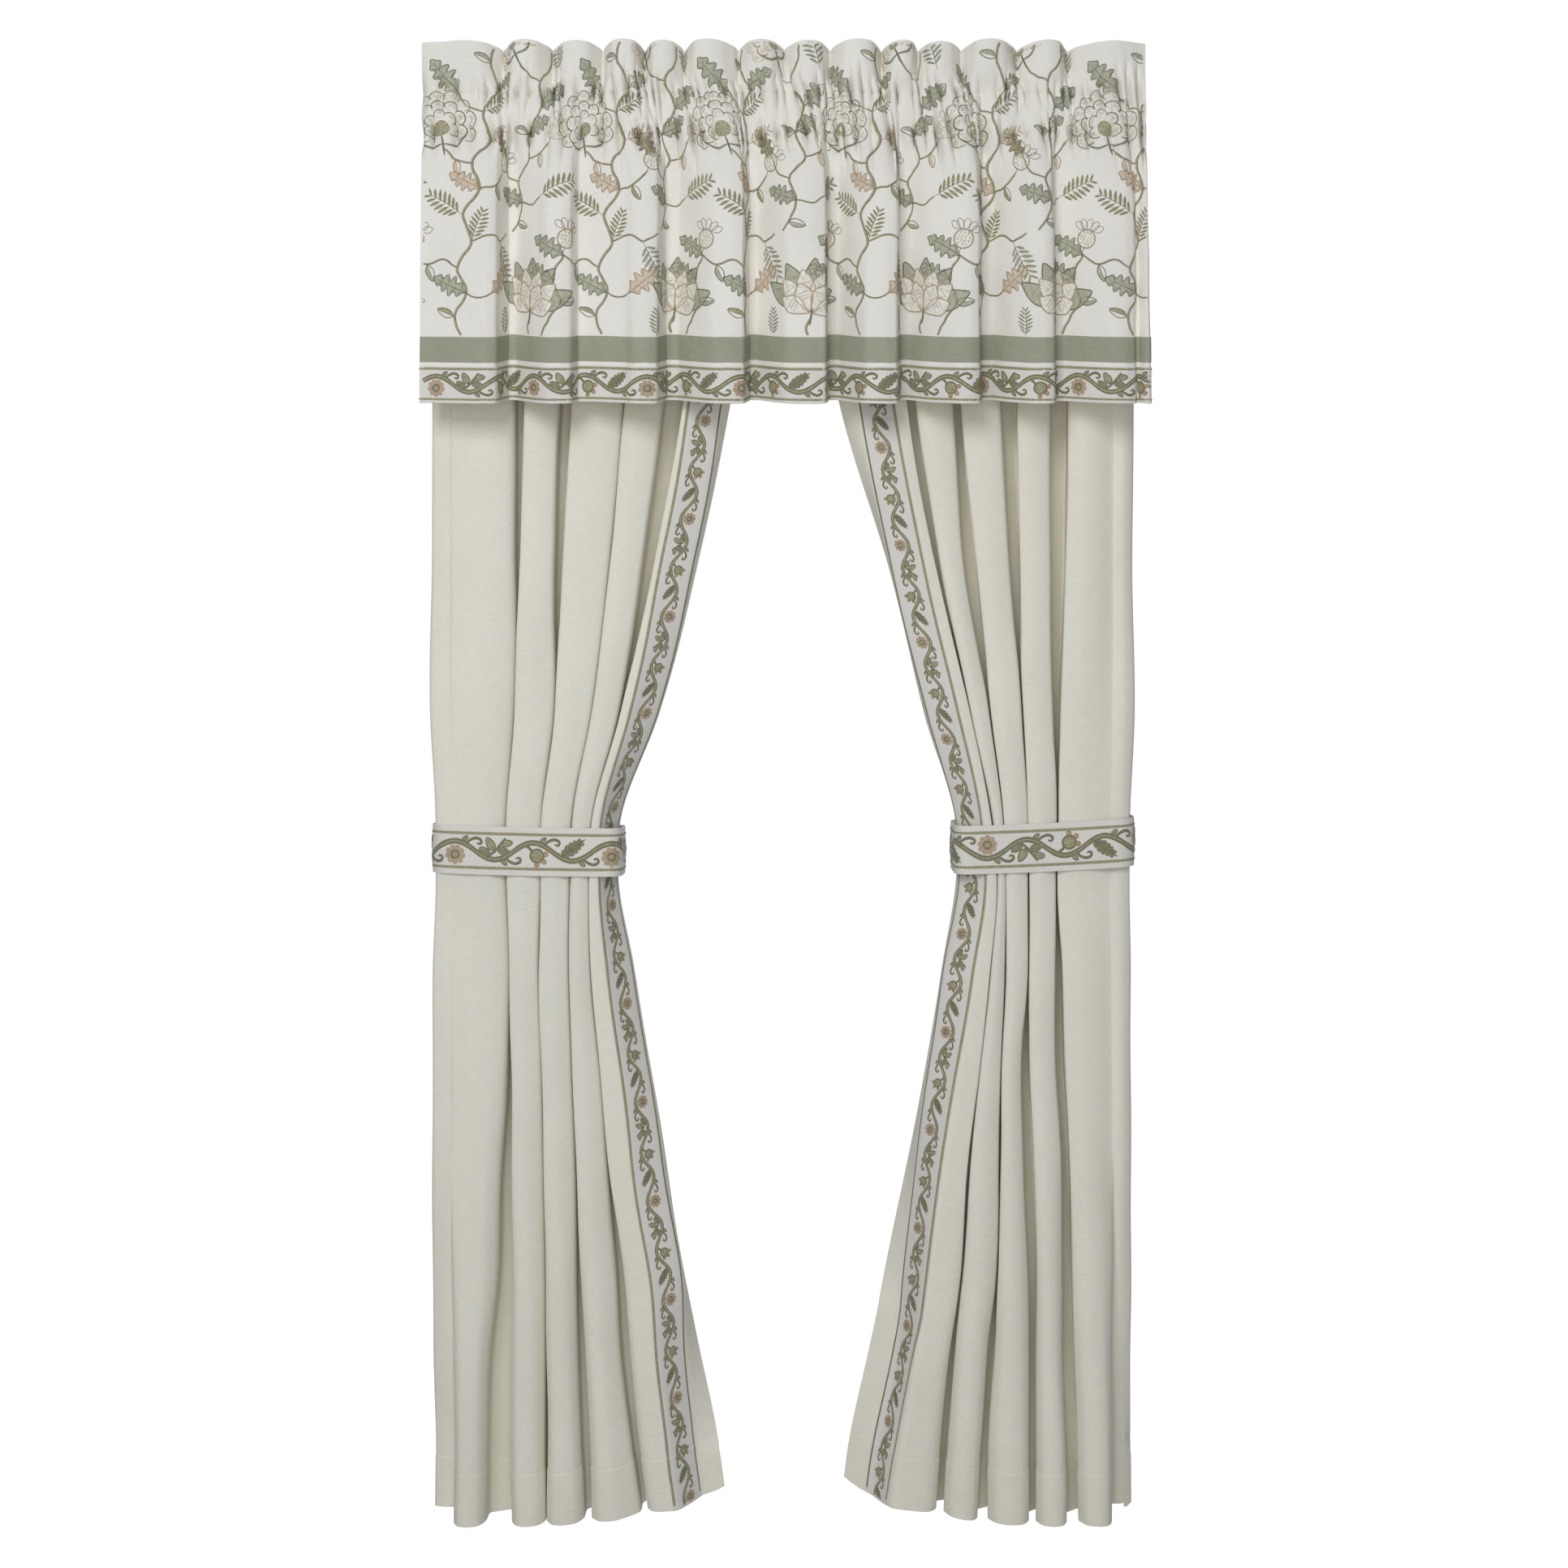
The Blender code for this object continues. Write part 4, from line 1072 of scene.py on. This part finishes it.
# one repeat of the valance's trailing design: stalks and motifs, in mm
trailing = {
    "repeat": 282.0, "stalkSize": 1.45, "foot": 0.4285, "wander": 0.0011, "wanderStep": 0.009, "seed": 100,
    "shadeShift": 0.34, "shadeWidth": 0.0011,      # a darker line down one side of each stalk
    "kinds": {"cup": "Flowers", "roundel": "Flowers", "seed": "Flowers", "lobed": "Leaves",
              "feather": "Sprigs", "small": "Sprigs"},
    "motifSize": {"cup": 1.22, "roundel": 1.22, "seed": 1.50, "lobed": 1.50, "feather": 1.45, "small": 1.55},
    "stalks": (
        # width, places down the cloth
        (3.0, ((62, 432), (50, 400), (68, 366), (54, 330), (76, 292), (62, 254), (86, 216), (74, 178),
               (98, 142), (88, 102), (112, 64), (100, 26), (108, -4))),
        (2.3, ((76, 292), (104, 282), (126, 292), (148, 280))),
        (2.3, ((54, 330), (30, 318), (10, 326), (-14, 312))),
        (2.4, ((86, 216), (110, 210), (130, 192))),
        (2.4, ((74, 178), (50, 172), (34, 156))),
        (2.6, ((206, 432), (202, 416), (208, 402))),
        (2.6, ((230, 432), (246, 404), (262, 380), (252, 346), (268, 312))),
        (2.6, ((166, 276), (180, 256), (188, 232), (178, 200), (202, 168), (194, 130), (218, 94),
               (208, 56), (230, 20), (226, -4))),
        (2.0, ((178, 200), (156, 190), (146, 168))),
        (2.0, ((202, 168), (226, 160), (240, 142))),
        (2.0, ((88, 102), (64, 92), (52, 72))),
        (2.0, ((208, 56), (184, 46), (170, 26))),
        (1.8, ((68, 366), (90, 374), (104, 366))),
        (1.8, ((188, 232), (212, 236), (228, 226))),
    ),
    "places": (
        # motif, across, down, turn, size, hand, body yarn, rim yarn
        ("cup", 208, 396, 5, 1.32, 1, "tanThread", "sageDark"),
        ("roundel", 32, 154, -8, 1.22, 1, "sageThread", "sageDark"),
        ("roundel", 170, 24, -24, 0.95, -1, "blushThread", "brownThread"),
        ("seed", 130, 190, 34, 1.10, 1, "brownThread", "oliveThread"),
        ("seed", 268, 308, 14, 1.08, -1, "brownThread", "oliveThread"),
        ("seed", 240, 140, 48, 0.95, 1, "blushThread", "brownThread"),
        ("lobed", -14, 312, -62, 1.05, 1, "sagePale", "sageDark"),
        ("lobed", 104, 366, 52, 1.10, 1, "blushThread", "brownThread"),
        ("lobed", 52, 72, -40, 1.12, -1, "sagePale", "sageDark"),
        ("lobed", 146, 168, -34, 1.00, 1, "oliveLight", "oliveThread"),
        ("lobed", 218, 94, 58, 1.12, 1, "sagePale", "sageDark"),
        ("lobed", 112, 64, 64, 0.92, 1, "sagePale", "oliveThread"),
        ("lobed", 252, 346, -70, 0.95, 1, "sagePale", "sageDark"),
        ("lobed", 68, 366, -66, 1.00, -1, "sagePale", "sageDark"),
        ("lobed", 86, 216, -62, 0.95, 1, "blushThread", "brownThread"),
        ("lobed", 188, 232, -70, 1.00, -1, "sagePale", "sageDark"),
        ("lobed", 194, 130, 62, 0.90, 1, "sagePale", "oliveThread"),
        ("feather", 88, 102, 62, 0.90, 1, "oliveLight", "sageDark"),
        ("feather", 76, 292, 20, 0.85, -1, "oliveLight", "oliveThread"),
        ("feather", 62, 254, -58, 1.05, 1, "oliveLight", "sageDark"),
        ("feather", 126, 292, 150, 1.08, 1, "sagePale", "sageDark"),
        ("feather", 228, 226, 66, 1.08, -1, "oliveLight", "oliveThread"),
        ("feather", 98, 142, 70, 0.86, 1, "blushThread", "brownThread"),
        ("feather", 262, 40, -18, 1.00, 1, "sagePale", "sageDark"),
        ("feather", 146, 430, 0, 0.72, 1, "sagePale", "oliveThread"),
        ("small", 50, 400, -66, 1.25, 1, "oliveLight", "oliveThread"),
        ("small", 10, 326, 160, 1.20, 1, "sagePale", "sageDark"),
        ("small", 110, 210, 152, 1.15, 1, "oliveLight", "oliveThread"),
        ("small", 176, 262, 108, 1.20, 1, "sagePale", "sageDark"),
        ("small", 50, 172, 170, 1.10, 1, "blushThread", "brownThread"),
        ("small", 194, 130, -70, 1.20, 1, "sagePale", "sageDark"),
        ("small", 100, 26, -72, 1.20, 1, "sagePale", "sageDark"),
        ("small", 262, 380, 84, 1.25, 1, "sagePale", "sageDark"),
        ("small", 226, 160, 176, 1.05, 1, "blushThread", "brownThread"),
    ),
}


def knobbly(line, seed):
    # a woody stalk wanders a little between its places
    rng = np.random.default_rng(seed)
    line = smoothLine(np.array(line, float) * mm, trailing["wanderStep"])
    line[1:-1] += rng.uniform(-trailing["wander"], trailing["wander"], (len(line) - 2, 2))
    return line


def drawTrailing(width):
    # each kind of work on a hoop of its own, because each becomes a piece
    hoops = {kind: newHoop() for kind in ("Stalks", "Leaves", "Sprigs", "Flowers")}
    repeat = trailing["repeat"] * mm
    for cell in range(-1, int(math.ceil(width / repeat)) + 1):
        shift = np.array([cell * repeat, 0.0])
        for number, (thick, line) in enumerate(trailing["stalks"]):
            stalk = knobbly(line, trailing["seed"] + number) + shift
            thick *= trailing["stalkSize"] * mm
            addStroke(hoops["Stalks"], stalk, thick, "oliveLight", 0, 0.75)
            addStroke(hoops["Stalks"], stalk + (trailing["shadeShift"] * thick, 0), trailing["shadeWidth"],
                      "oliveThread", 2, 0.9)
        for motif, across, down, turn, size, hand, body, rim in trailing["places"]:
            foot = (across * mm + shift[0], down * mm)
            size *= trailing["motifSize"][motif]
            hoop = hoops[trailing["kinds"][motif]]
            motifs[motif](*pens(hoop, lambda line: placed(line, foot, turn, size, hand)), body, rim)
    return hoops


# the running vine of the borders: places in mm along and across a strip
scroll = {
    # one half wave; every second one is turned over, so the stem runs on
    "unit": 42.0, "thread": 1.28,
    "stem": ((-2, 1.4), (0, 0), (7, -4.8), (14, -8.2), (21, -9.5), (28, -8.2), (35, -4.8), (42, 0),
             (44, 1.4)),
    "curl": ((32, -6.5), (38, -11.5), (45, -13.2), (49.5, -10), (47.5, -6.5), (44.2, -8.2)),
    "flower": (21.0, 5.0), "petals": 9, "petalReach": (4.8, 10.6),
    "spray": (((17, -5), (5, 3), 3.6), ((21, 0), (13, 14), 3.9), ((24, 2), (38, -2), 3.6),
              ((28, 8), (41, 9), 3.3)),
    "bud": (25.0, 4.5), "budSize": 7.0, "budLeans": (-12, 40, 92),
    "dots": ((-2.4, -2.4), (0.8, -3.0), (3.0, -0.8), (-3.2, 1.0), (0, 0.4), (-0.8, 3.4), (2.6, 2.6)),
    "teeth": (4.5, 6.6, 6.6, 5.4, 3.6),
}


def addBlade(fill, stroke, foot, tip, half, body, rim):
    # a pointed leaf between two places
    foot, tip = np.array(foot, float), np.array(tip, float)
    run = tip - foot
    across = np.array([-run[1], run[0]]) / np.hypot(*run) * half
    outline = [foot, foot + run * 0.30 + across, foot + run * 0.70 + across * 0.85, tip,
               foot + run * 0.70 - across * 0.85, foot + run * 0.30 - across]
    fill(outline, body, 1)
    stroke(outline + [foot], 0.0012, rim, 2, 0.85)
    stroke([foot, tip - run * 0.2], 0.0008, rim, 3)


def addRosette(fill, stroke):
    centre = np.array(scroll["flower"])
    near, far = scroll["petalReach"]
    for petal in range(scroll["petals"]):
        angle = 2 * math.pi * petal / scroll["petals"]
        way = np.array([math.sin(angle), math.cos(angle)])
        stroke([centre + way * near, centre + way * far], 0.0050, "tanThread", 2, 0.55)
        stroke([centre + way * near, centre + way * (far - 2)], 0.0009, "brownThread", 5)
    fill(arcPoints(centre, 3.2, 0, 330, 9), "oliveLight", 3)
    stroke(arcPoints(centre, 4.0, 0, 360, 12), 0.0018, "oliveThread", 4, 0.9)


def addSpray(fill, stroke):
    stroke([(12, -8), (20, -2), (27, 6), (33, 14)], 0.0022, "oliveThread", 2, 0.6)
    for number, (foot, tip, half) in enumerate(scroll["spray"]):
        addBlade(fill, stroke, foot, tip, half, "oliveLight" if number % 2 else "sageThread", "oliveThread")


def addBud(fill, stroke):
    centre, size = np.array(scroll["bud"]), scroll["budSize"]
    stroke([(11, -7.5), (17, -3.5), (21, 1)], 0.0024, "oliveThread", 2, 0.6)
    fill(arcPoints(centre, size, 0, 330, 11), "oliveLight", 2, 0.0006)
    stroke(arcPoints(centre, size, 0, 360, 15), 0.0019, "oliveThread", 3, 0.9)
    for dx, dy in scroll["dots"]:
        stroke([centre + (dx - 0.8, dy), centre + (dx + 0.8, dy)], 0.0015, "oliveThread", 5, 0.7, 0.0018)
    for lean in scroll["budLeans"]:
        way = np.array([math.cos(math.radians(lean)), math.sin(math.radians(lean))])
        foot = centre + way * size
        addBlade(fill, stroke, foot, foot + way * 5.4, 2.4, "tanThread", "brownThread")


def addToothed(fill, stroke):
    along, over = np.array([0.80, 0.60]), np.array([-0.60, 0.80])
    for tooth, spread in enumerate(scroll["teeth"]):
        foot = np.array([8.0, -6.0]) + along * (4 + tooth * 5.2)
        for hand in (-1, 1):
            tip = foot + along * 4.6 + over * hand * spread
            addBlade(fill, stroke, foot, tip, 2.0, "sageThread", "oliveThread")
    stroke([(8, -7), (20, 3), (35, 14)], 0.0020, "oliveThread", 4)


def addScrollUnit(fill, stroke, kind):
    stroke(scroll["stem"], 0.0048, "oliveThread", 1, 0.75)
    stroke(scroll["stem"], 0.0018, "oliveLight", 4, 0.7)
    stroke(scroll["curl"], 0.0026, "oliveThread", 1, 0.5)
    addBlade(fill, stroke, (28, -9), (35, -15.4), 1.9, "oliveLight", "oliveThread")
    (addRosette, addSpray, addBud, addToothed)[kind](fill, stroke)


def drawScroll(length, across, size, alongDown, start=0.0, flip=1.0):
    # units follow each other, every second one turned over
    hoop = newHoop()
    hoop["thread"] = scroll["thread"] * size
    unit = scroll["unit"] * size * mm
    for number in range(int(math.ceil((length - start) / unit)) + 1):
        begin = start + number * unit
        side = flip * (1 if number % 2 == 0 else -1)

        def lay(places):
            places = np.asarray(places, float) * size * mm
            along = begin + places[:, 0]
            over = across + side * places[:, 1]
            return np.column_stack([over, along] if alongDown else [along, over])

        addScrollUnit(*pens(hoop, lay), number % 4)
    return hoop


def sewOn(name, hoop, surface, lift, slot, reach):
    # lay a drawing on its cloth; whatever runs past the reach is left out
    points = np.concatenate(hoop["points"])
    lifts = np.concatenate(hoop["lifts"])
    low, high = reach
    inside = np.all((points >= low) & (points <= high), axis=1)
    kept = [(face, yarn) for face, yarn in zip(hoop["faces"], hoop["slots"]) if all(inside[v] for v in face)]
    used = np.unique([v for face, yarn in kept for v in face])
    renumber = np.full(len(points), -1)
    renumber[used] = np.arange(len(used))
    points = points[used]
    sewn = placeOn(surface, points[:, 0], points[:, 1], lifts[used] + lift)
    faces = [renumber[list(face)] for face, yarn in kept]
    piece = meshPiece(name, sewn, faces, yarns, points, [yarn for face, yarn in kept])
    mesh = bmesh.new()
    mesh.from_mesh(piece.data)
    bmesh.ops.recalc_face_normals(mesh, faces=mesh.faces)
    mesh.to_mesh(piece.data)
    mesh.free()
    finishPiece(piece, slot)
    print(name, len(piece.data.polygons), "faces")


# the vine's size on each kind of strip, then where it starts on a panel and which hand it is
vine = {
    "valance": 1.16, "panel": 0.86, "tie": 1.34, "valanceMiddle": 0.0252,
    "left": (-0.06, 1.0), "right": (-0.02, -1.0),
    # how near the edges of each strip the work may come
    "rim": 0.003, "panelRim": 0.004, "tieRim": 0.006, "valanceReach": (0.002, 0.050),
}


def sewEverything():
    ground, border = valanceStrips["ground"], valanceStrips["border"]
    wide, rim = float(ground["u"][-1]), vine["rim"]
    upper, lower = vine["valanceReach"]
    for kind, hoop in drawTrailing(wide).items():
        sewOn(f"trailing{kind}", hoop, ground, 0.0, "valance_cloth",
              ((rim, rim), (wide - rim, trailing["foot"])))
    sewOn("valanceScroll", drawScroll(wide, vine["valanceMiddle"], vine["valance"], False), border,
          valance["thickness"] / 2 + trimTop, "border_cloth", ((rim, upper), (wide - rim, lower)))
    for side in ("left", "right"):
        start, hand = vine[side]
        drawn = drawScroll(panel["length"], panel["border"] / 2, vine["panel"], True, start, hand)
        sewOn(f"panelScroll{side.title()}", drawn, panelStrips[side], panel["thickness"] / 2 + trimTop,
              "border_cloth",
              ((rim, vine["panelRim"]), (panel["border"] - rim, panel["length"] - rim)))
        ring = joined(tieSurfaces[side])
        drawn = drawScroll(ring["length"], tie["height"] / 2, vine["tie"], False, 0.0, hand)
        sewOn(f"tieScroll{side.title()}", drawn, ring, tie["thickness"] / 2, "border_cloth",
              ((0.0, vine["tieRim"]), (float(ring["length"]), tie["height"] - vine["tieRim"])))


sewEverything()
print("embroidery sewn on")


# loose stitches: one small bead repeated along a path

def stitchTree():
    # input: a line of points that carry the cloth's outward direction
    tree = bpy.data.node_groups.new("stitchRow", "GeometryNodeTree")
    for label, way, kind in (("Geometry", "INPUT", "Geometry"), ("Spacing", "INPUT", "Float"),
                             ("Stitch Length", "INPUT", "Float"), ("Stitch Width", "INPUT", "Float"),
                             ("Slant", "INPUT", "Float"), ("Seed", "INPUT", "Int"),
                             ("Yarn", "INPUT", "Material"), ("Geometry", "OUTPUT", "Geometry")):
        tree.interface.new_socket(name=label, in_out=way, socket_type=f"NodeSocket{kind}")
    given = addNode(tree, "NodeGroupInput").outputs
    curve = addNode(tree, "GeometryNodeMeshToCurve", {"Mesh": given["Geometry"]})
    places = addNode(tree, "GeometryNodeResampleCurve",
                     {"Curve": curve.outputs["Curve"], "Length": given["Spacing"]}, mode="LENGTH")
    stitch = addNode(tree, "GeometryNodeMeshUVSphere", {"Segments": 6, "Rings": 4, "Radius": 0.5})
    tangent = addNode(tree, "GeometryNodeInputTangent")
    outward = addNode(tree, "GeometryNodeInputNamedAttribute", {"Name": "outward"}, data_type="FLOAT_VECTOR")
    along = addNode(tree, "FunctionNodeAlignRotationToVector", {"Vector": tangent.outputs["Tangent"]},
                    axis="X")
    up = addNode(tree, "FunctionNodeAlignRotationToVector",
                 {"Rotation": along.outputs["Rotation"], "Vector": outward.outputs["Attribute"]},
                 axis="Z", pivot_axis="X")
    turn = addNode(tree, "FunctionNodeAxisAngleToRotation",
                   {"Axis": (0.0, 0.0, 1.0), "Angle": given["Slant"]})
    slanted = addNode(tree, "FunctionNodeRotateRotation",
                      {"Rotation": up.outputs["Rotation"], "Rotate By": turn.outputs["Rotation"]},
                      rotation_space="LOCAL")
    size = addNode(tree, "ShaderNodeCombineXYZ",
                   {"X": given["Stitch Length"], "Y": given["Stitch Width"], "Z": given["Stitch Width"]})
    uneven = addNode(tree, "FunctionNodeRandomValue", {2: 0.88, 3: 1.10, "Seed": given["Seed"]})
    scaled = addNode(tree, "ShaderNodeVectorMath",
                     {0: size.outputs["Vector"], "Scale": uneven.outputs[1]}, operation="SCALE")
    row = addNode(tree, "GeometryNodeInstanceOnPoints", {
        "Points": places.outputs["Curve"], "Instance": stitch.outputs["Mesh"],
        "Rotation": slanted.outputs["Rotation"], "Scale": scaled.outputs["Vector"]})
    solid = addNode(tree, "GeometryNodeRealizeInstances", {"Geometry": row.outputs["Instances"]})
    paint = addNode(tree, "GeometryNodeSetMaterial",
                    {"Geometry": solid.outputs["Geometry"], "Material": given["Yarn"]})
    addNode(tree, "NodeGroupOutput", {"Geometry": paint.outputs["Geometry"]})
    return tree


stitchRow = stitchTree()


def plainYarn(name, colour):
    # yarn for loose stitches, which carry no flat places
    material, tree = newMaterial(name, {"Roughness": 0.7})
    fibre = noiseOn(tree, addNode(tree, "ShaderNodeTexCoord").outputs["Object"], 900.0)
    setInputs(tree, tree.nodes["Principled BSDF"], {"Base Color": tinted(tree, fibre, colour, 0.65, 1.25)})
    return material


# cream yarn for the hem and pocket seams, made darker than the cloth it sits on: its own cream colour with
# painted shade along the stitched lines
oliveStitch = plainYarn("oliveStitch", (0.300, 0.290, 0.165))
creamStitchWithPaintedShade = plainYarn("creamStitchWithPaintedShade", (0.760, 0.735, 0.640))

# spacing, length, width and slant of each kind of stitch
stitches = {
    "panelCord": (0.0021, 0.0036, 0.0009, 0.9), "tieCord": (0.0021, 0.0038, 0.0009, 0.9),
    "valanceCord": (0.0021, 0.0034, 0.0009, 0.9), "hem": (0.0040, 0.0030, 0.0008, 0.0),
    "pocket": (0.0034, 0.0024, 0.0007, 0.0), "seed": 3, "lift": 0.0004,
}


def stitchAlong(name, lines, surface, lift, yarn, slot, kind):
    # lines are flat cloth places; the stitches sit on the cloth along them
    points, edges, outward = [], [], []
    for flat in lines:
        on = placeOn(surface, flat[:, 0], flat[:, 1], np.full(len(flat), lift))
        above = placeOn(surface, flat[:, 0], flat[:, 1], np.full(len(flat), lift + 0.001))
        edges += [(len(points) + i, len(points) + i + 1) for i in range(len(on) - 1)]
        points += [tuple(p) for p in on]
        outward += [tuple(p) for p in (above - on) * 1000]
    mesh = bpy.data.meshes.new(name)
    mesh.from_pydata(points, edges, [])
    carried = mesh.attributes.new("outward", "FLOAT_VECTOR", "POINT")
    carried.data.foreach_set("vector", np.array(outward, np.float32).ravel())
    guide = addObject(f"{name}Guide", mesh)
    row = guide.modifiers.new("stitches", "NODES")
    row.node_group = stitchRow
    wanted = dict(zip(("Spacing", "Stitch Length", "Stitch Width", "Slant"), stitches[kind]))
    wanted.update({"Seed": stitches["seed"], "Yarn": yarn})
    for item in stitchRow.interface.items_tree:
        if item.in_out == "INPUT" and item.name in wanted:
            row[item.identifier] = wanted[item.name]
    made = bpy.data.meshes.new_from_object(guide.evaluated_get(bpy.context.evaluated_depsgraph_get()))
    guide.modifiers.remove(row)
    bpy.data.objects.remove(guide)
    made.name = name
    made.shade_smooth()
    finishPiece(addObject(name, made), slot)
    print(name, len(made.polygons), "faces")


def runDown(surface, across, low, high):
    downs = surface["v"][(surface["v"] > low) & (surface["v"] < high)]
    return np.column_stack([np.full(len(downs), across), downs])


def runAcross(surface, down):
    return np.column_stack([surface["u"], np.full(len(surface["u"]), down)])


cords = {
    # how far in from an edge each kind of corded line runs, then how wide they are
    "panel": (0.0028, 0.0018), "tie": (0.0105, 0.0100), "valance": (0.0036, 0.0468),
    "panelWidths": (0.0040, 0.0026), "tieWidth": 0.0044, "valanceWidths": (0.0040, 0.0034),
    # where they start and end down a panel, and where their slanted stitches do
    "run": (0.003, 2.132), "stitched": (0.004, 2.131), "panelReach": (0.002, 2.134),
    "tieRim": 0.004, "valanceReach": (0.001, 0.051), "step": 0.006, "taper": 0.9,
}


def sewCords(name, lines, surface, lift, reach):
    # each line is its flat places, its width and its yarn
    hoop = newHoop()
    for line, width, yarn in lines:
        addStroke(hoop, line, width, yarn, 0, cords["taper"], cords["step"])
    sewOn(name, hoop, surface, lift, "border_cloth", reach)


def sewLines():
    wide = panel["border"]
    near, far = cords["panel"]
    for side in ("left", "right"):
        title, strip, body = side.title(), panelStrips[side], bodies[side]
        inner, outer = (near, wide - far) if side == "left" else (wide - near, far)
        lift = panel["thickness"] / 2 + trimTop
        lines = [runDown(strip, across, *cords["run"]) for across in (inner, outer)]
        sewCords(f"borderLines{title}", zip(lines, cords["panelWidths"], ("oliveLight", "oliveThread")),
                 strip, lift, ((0.0, cords["panelReach"][0]), (wide, cords["panelReach"][1])))
        stitchAlong(f"cordStitches{title}", [runDown(strip, inner, *cords["stitched"])], strip,
                    lift + stitches["lift"], oliveStitch, "border_cloth", "panelCord")
        ring, lift = joined(tieSurfaces[side]), tie["thickness"] / 2
        lines = [runAcross(ring, down) for down in (cords["tie"][0], tie["height"] - cords["tie"][1])]
        sewCords(f"tieLines{title}", [(line, cords["tieWidth"], "oliveLight") for line in lines], ring, lift,
                 ((0.0, cords["tieRim"]), (float(ring["length"]), tie["height"] - cords["tieRim"])))
        stitchAlong(f"tieStitches{title}", lines, ring, lift + stitches["lift"], oliveStitch, "border_cloth",
                    "tieCord")
        hemLine = panel["length"] - panel["hem"]
        stitchAlong(f"hemStitches{title}", [runAcross(body, hemLine - panel["stitchRow"])], body, 0.0,
                    creamStitchWithPaintedShade, "panel_cloth", "hem")
    border, ground = valanceStrips["border"], valanceStrips["ground"]
    lines = [runAcross(border, down) for down in cords["valance"]]
    lift = valance["thickness"] / 2 + trimTop
    upper, lower = cords["valanceReach"]
    sewCords("valanceLines", zip(lines, cords["valanceWidths"], ("oliveLight", "oliveLight")), border, lift,
             ((0.0, upper), (float(border["u"][-1]), lower)))
    stitchAlong("valanceCordStitches", lines, border, lift + stitches["lift"], oliveStitch, "border_cloth",
                "valanceCord")
    seams = (valance["top"] - valance["pocketTop"], valance["top"] - valance["pocketFoot"] - 0.0015)
    stitchAlong("pocketSeams", [runAcross(ground, down) for down in seams], ground, 0.0, creamStitchWithPaintedShade,
                "valance_cloth", "pocket")


sewLines()
print("lines and seams stitched")

# room, light and camera
studio = {
    "floor": -2.15, "floorHalf": 30, "floorColour": (0.50, 0.50, 0.50), "floorGlow": 0.88,
    "backdrop": (1.0, 1.0, 1.0), "seen": 1.0, "given": 0.23, "givenColour": (0.950, 0.960, 1.0),
    "camera": (0.0, -3.0, -0.960), "lens": 48.15,
    "lights": (
        # name, place, aim, width, height, watts, colour
        ("broadLight", (-0.85, -3.3, 0.60), (0.0, 0.0, -0.80), 1.4, 1.4, 59.0, (0.945, 0.957, 1.0)),
        ("fillLight", (0.0, -3.2, -1.2), (0.0, 0.0, -1.0), 0.9, 1.6, 25.0, (0.945, 0.957, 1.0)),
        ("windowLight", (0.7, 3.1, -0.2), (0.0, 0.0, -0.95), 1.6, 2.0, 42.0, (0.97, 0.985, 1.0)),
    ),
}


def buildStudio():
    scene = bpy.context.scene
    scene.view_settings.view_transform = "Standard"
    scene.world = bpy.data.worlds.new("paleRoom")
    scene.world.use_nodes = True
    # the room is seen white and gives off a softer light
    tree = scene.world.node_tree
    given = tree.nodes["Background"]
    setInputs(tree, given, {"Color": (*studio["givenColour"], 1.0), "Strength": studio["given"]})
    seen = addNode(tree, "ShaderNodeBackground",
                   {"Color": (*studio["backdrop"], 1.0), "Strength": studio["seen"]})
    path = addNode(tree, "ShaderNodeLightPath")
    mix = addNode(tree, "ShaderNodeMixShader", {
        "Fac": path.outputs["Is Camera Ray"], 1: given.outputs["Background"], 2: seen.outputs["Background"]})
    setInputs(tree, tree.nodes["World Output"], {"Surface": mix.outputs["Shader"]})
    half, level = studio["floorHalf"], studio["floor"]
    mesh = bpy.data.meshes.new("floor")
    mesh.from_pydata([(x * half, y * half, level) for x, y in ((-1, -1), (1, -1), (1, 1), (-1, 1))], [],
                     [(0, 1, 2, 3)])
    mesh.materials.append(newMaterial("paleFloor", {
        "Base Color": (*studio["floorColour"], 1.0), "Roughness": 0.9,
        "Emission Color": (1.0, 1.0, 1.0, 1.0), "Emission Strength": studio["floorGlow"]})[0])
    floor = addObject("floor", mesh)
    floor.visible_diffuse = False
    for name, place, aim, width, height, watts, colour in studio["lights"]:
        lamp = bpy.data.lights.new(name, "AREA")
        lamp.shape = "RECTANGLE"
        lamp.size, lamp.size_y, lamp.energy, lamp.color = width, height, watts, colour
        light = addObject(name, lamp)
        light.visible_camera = False
        light.location = place
        light.rotation_euler = (Vector(aim) - Vector(place)).to_track_quat("-Z", "Y").to_euler()
    lens = bpy.data.cameras.new("camera")
    lens.lens, lens.sensor_width = studio["lens"], 36.0
    scene.camera = addObject("camera", lens)
    scene.camera.location = studio["camera"]
    scene.camera.rotation_euler = (math.radians(90), 0, 0)


buildStudio()
print("studio lit")
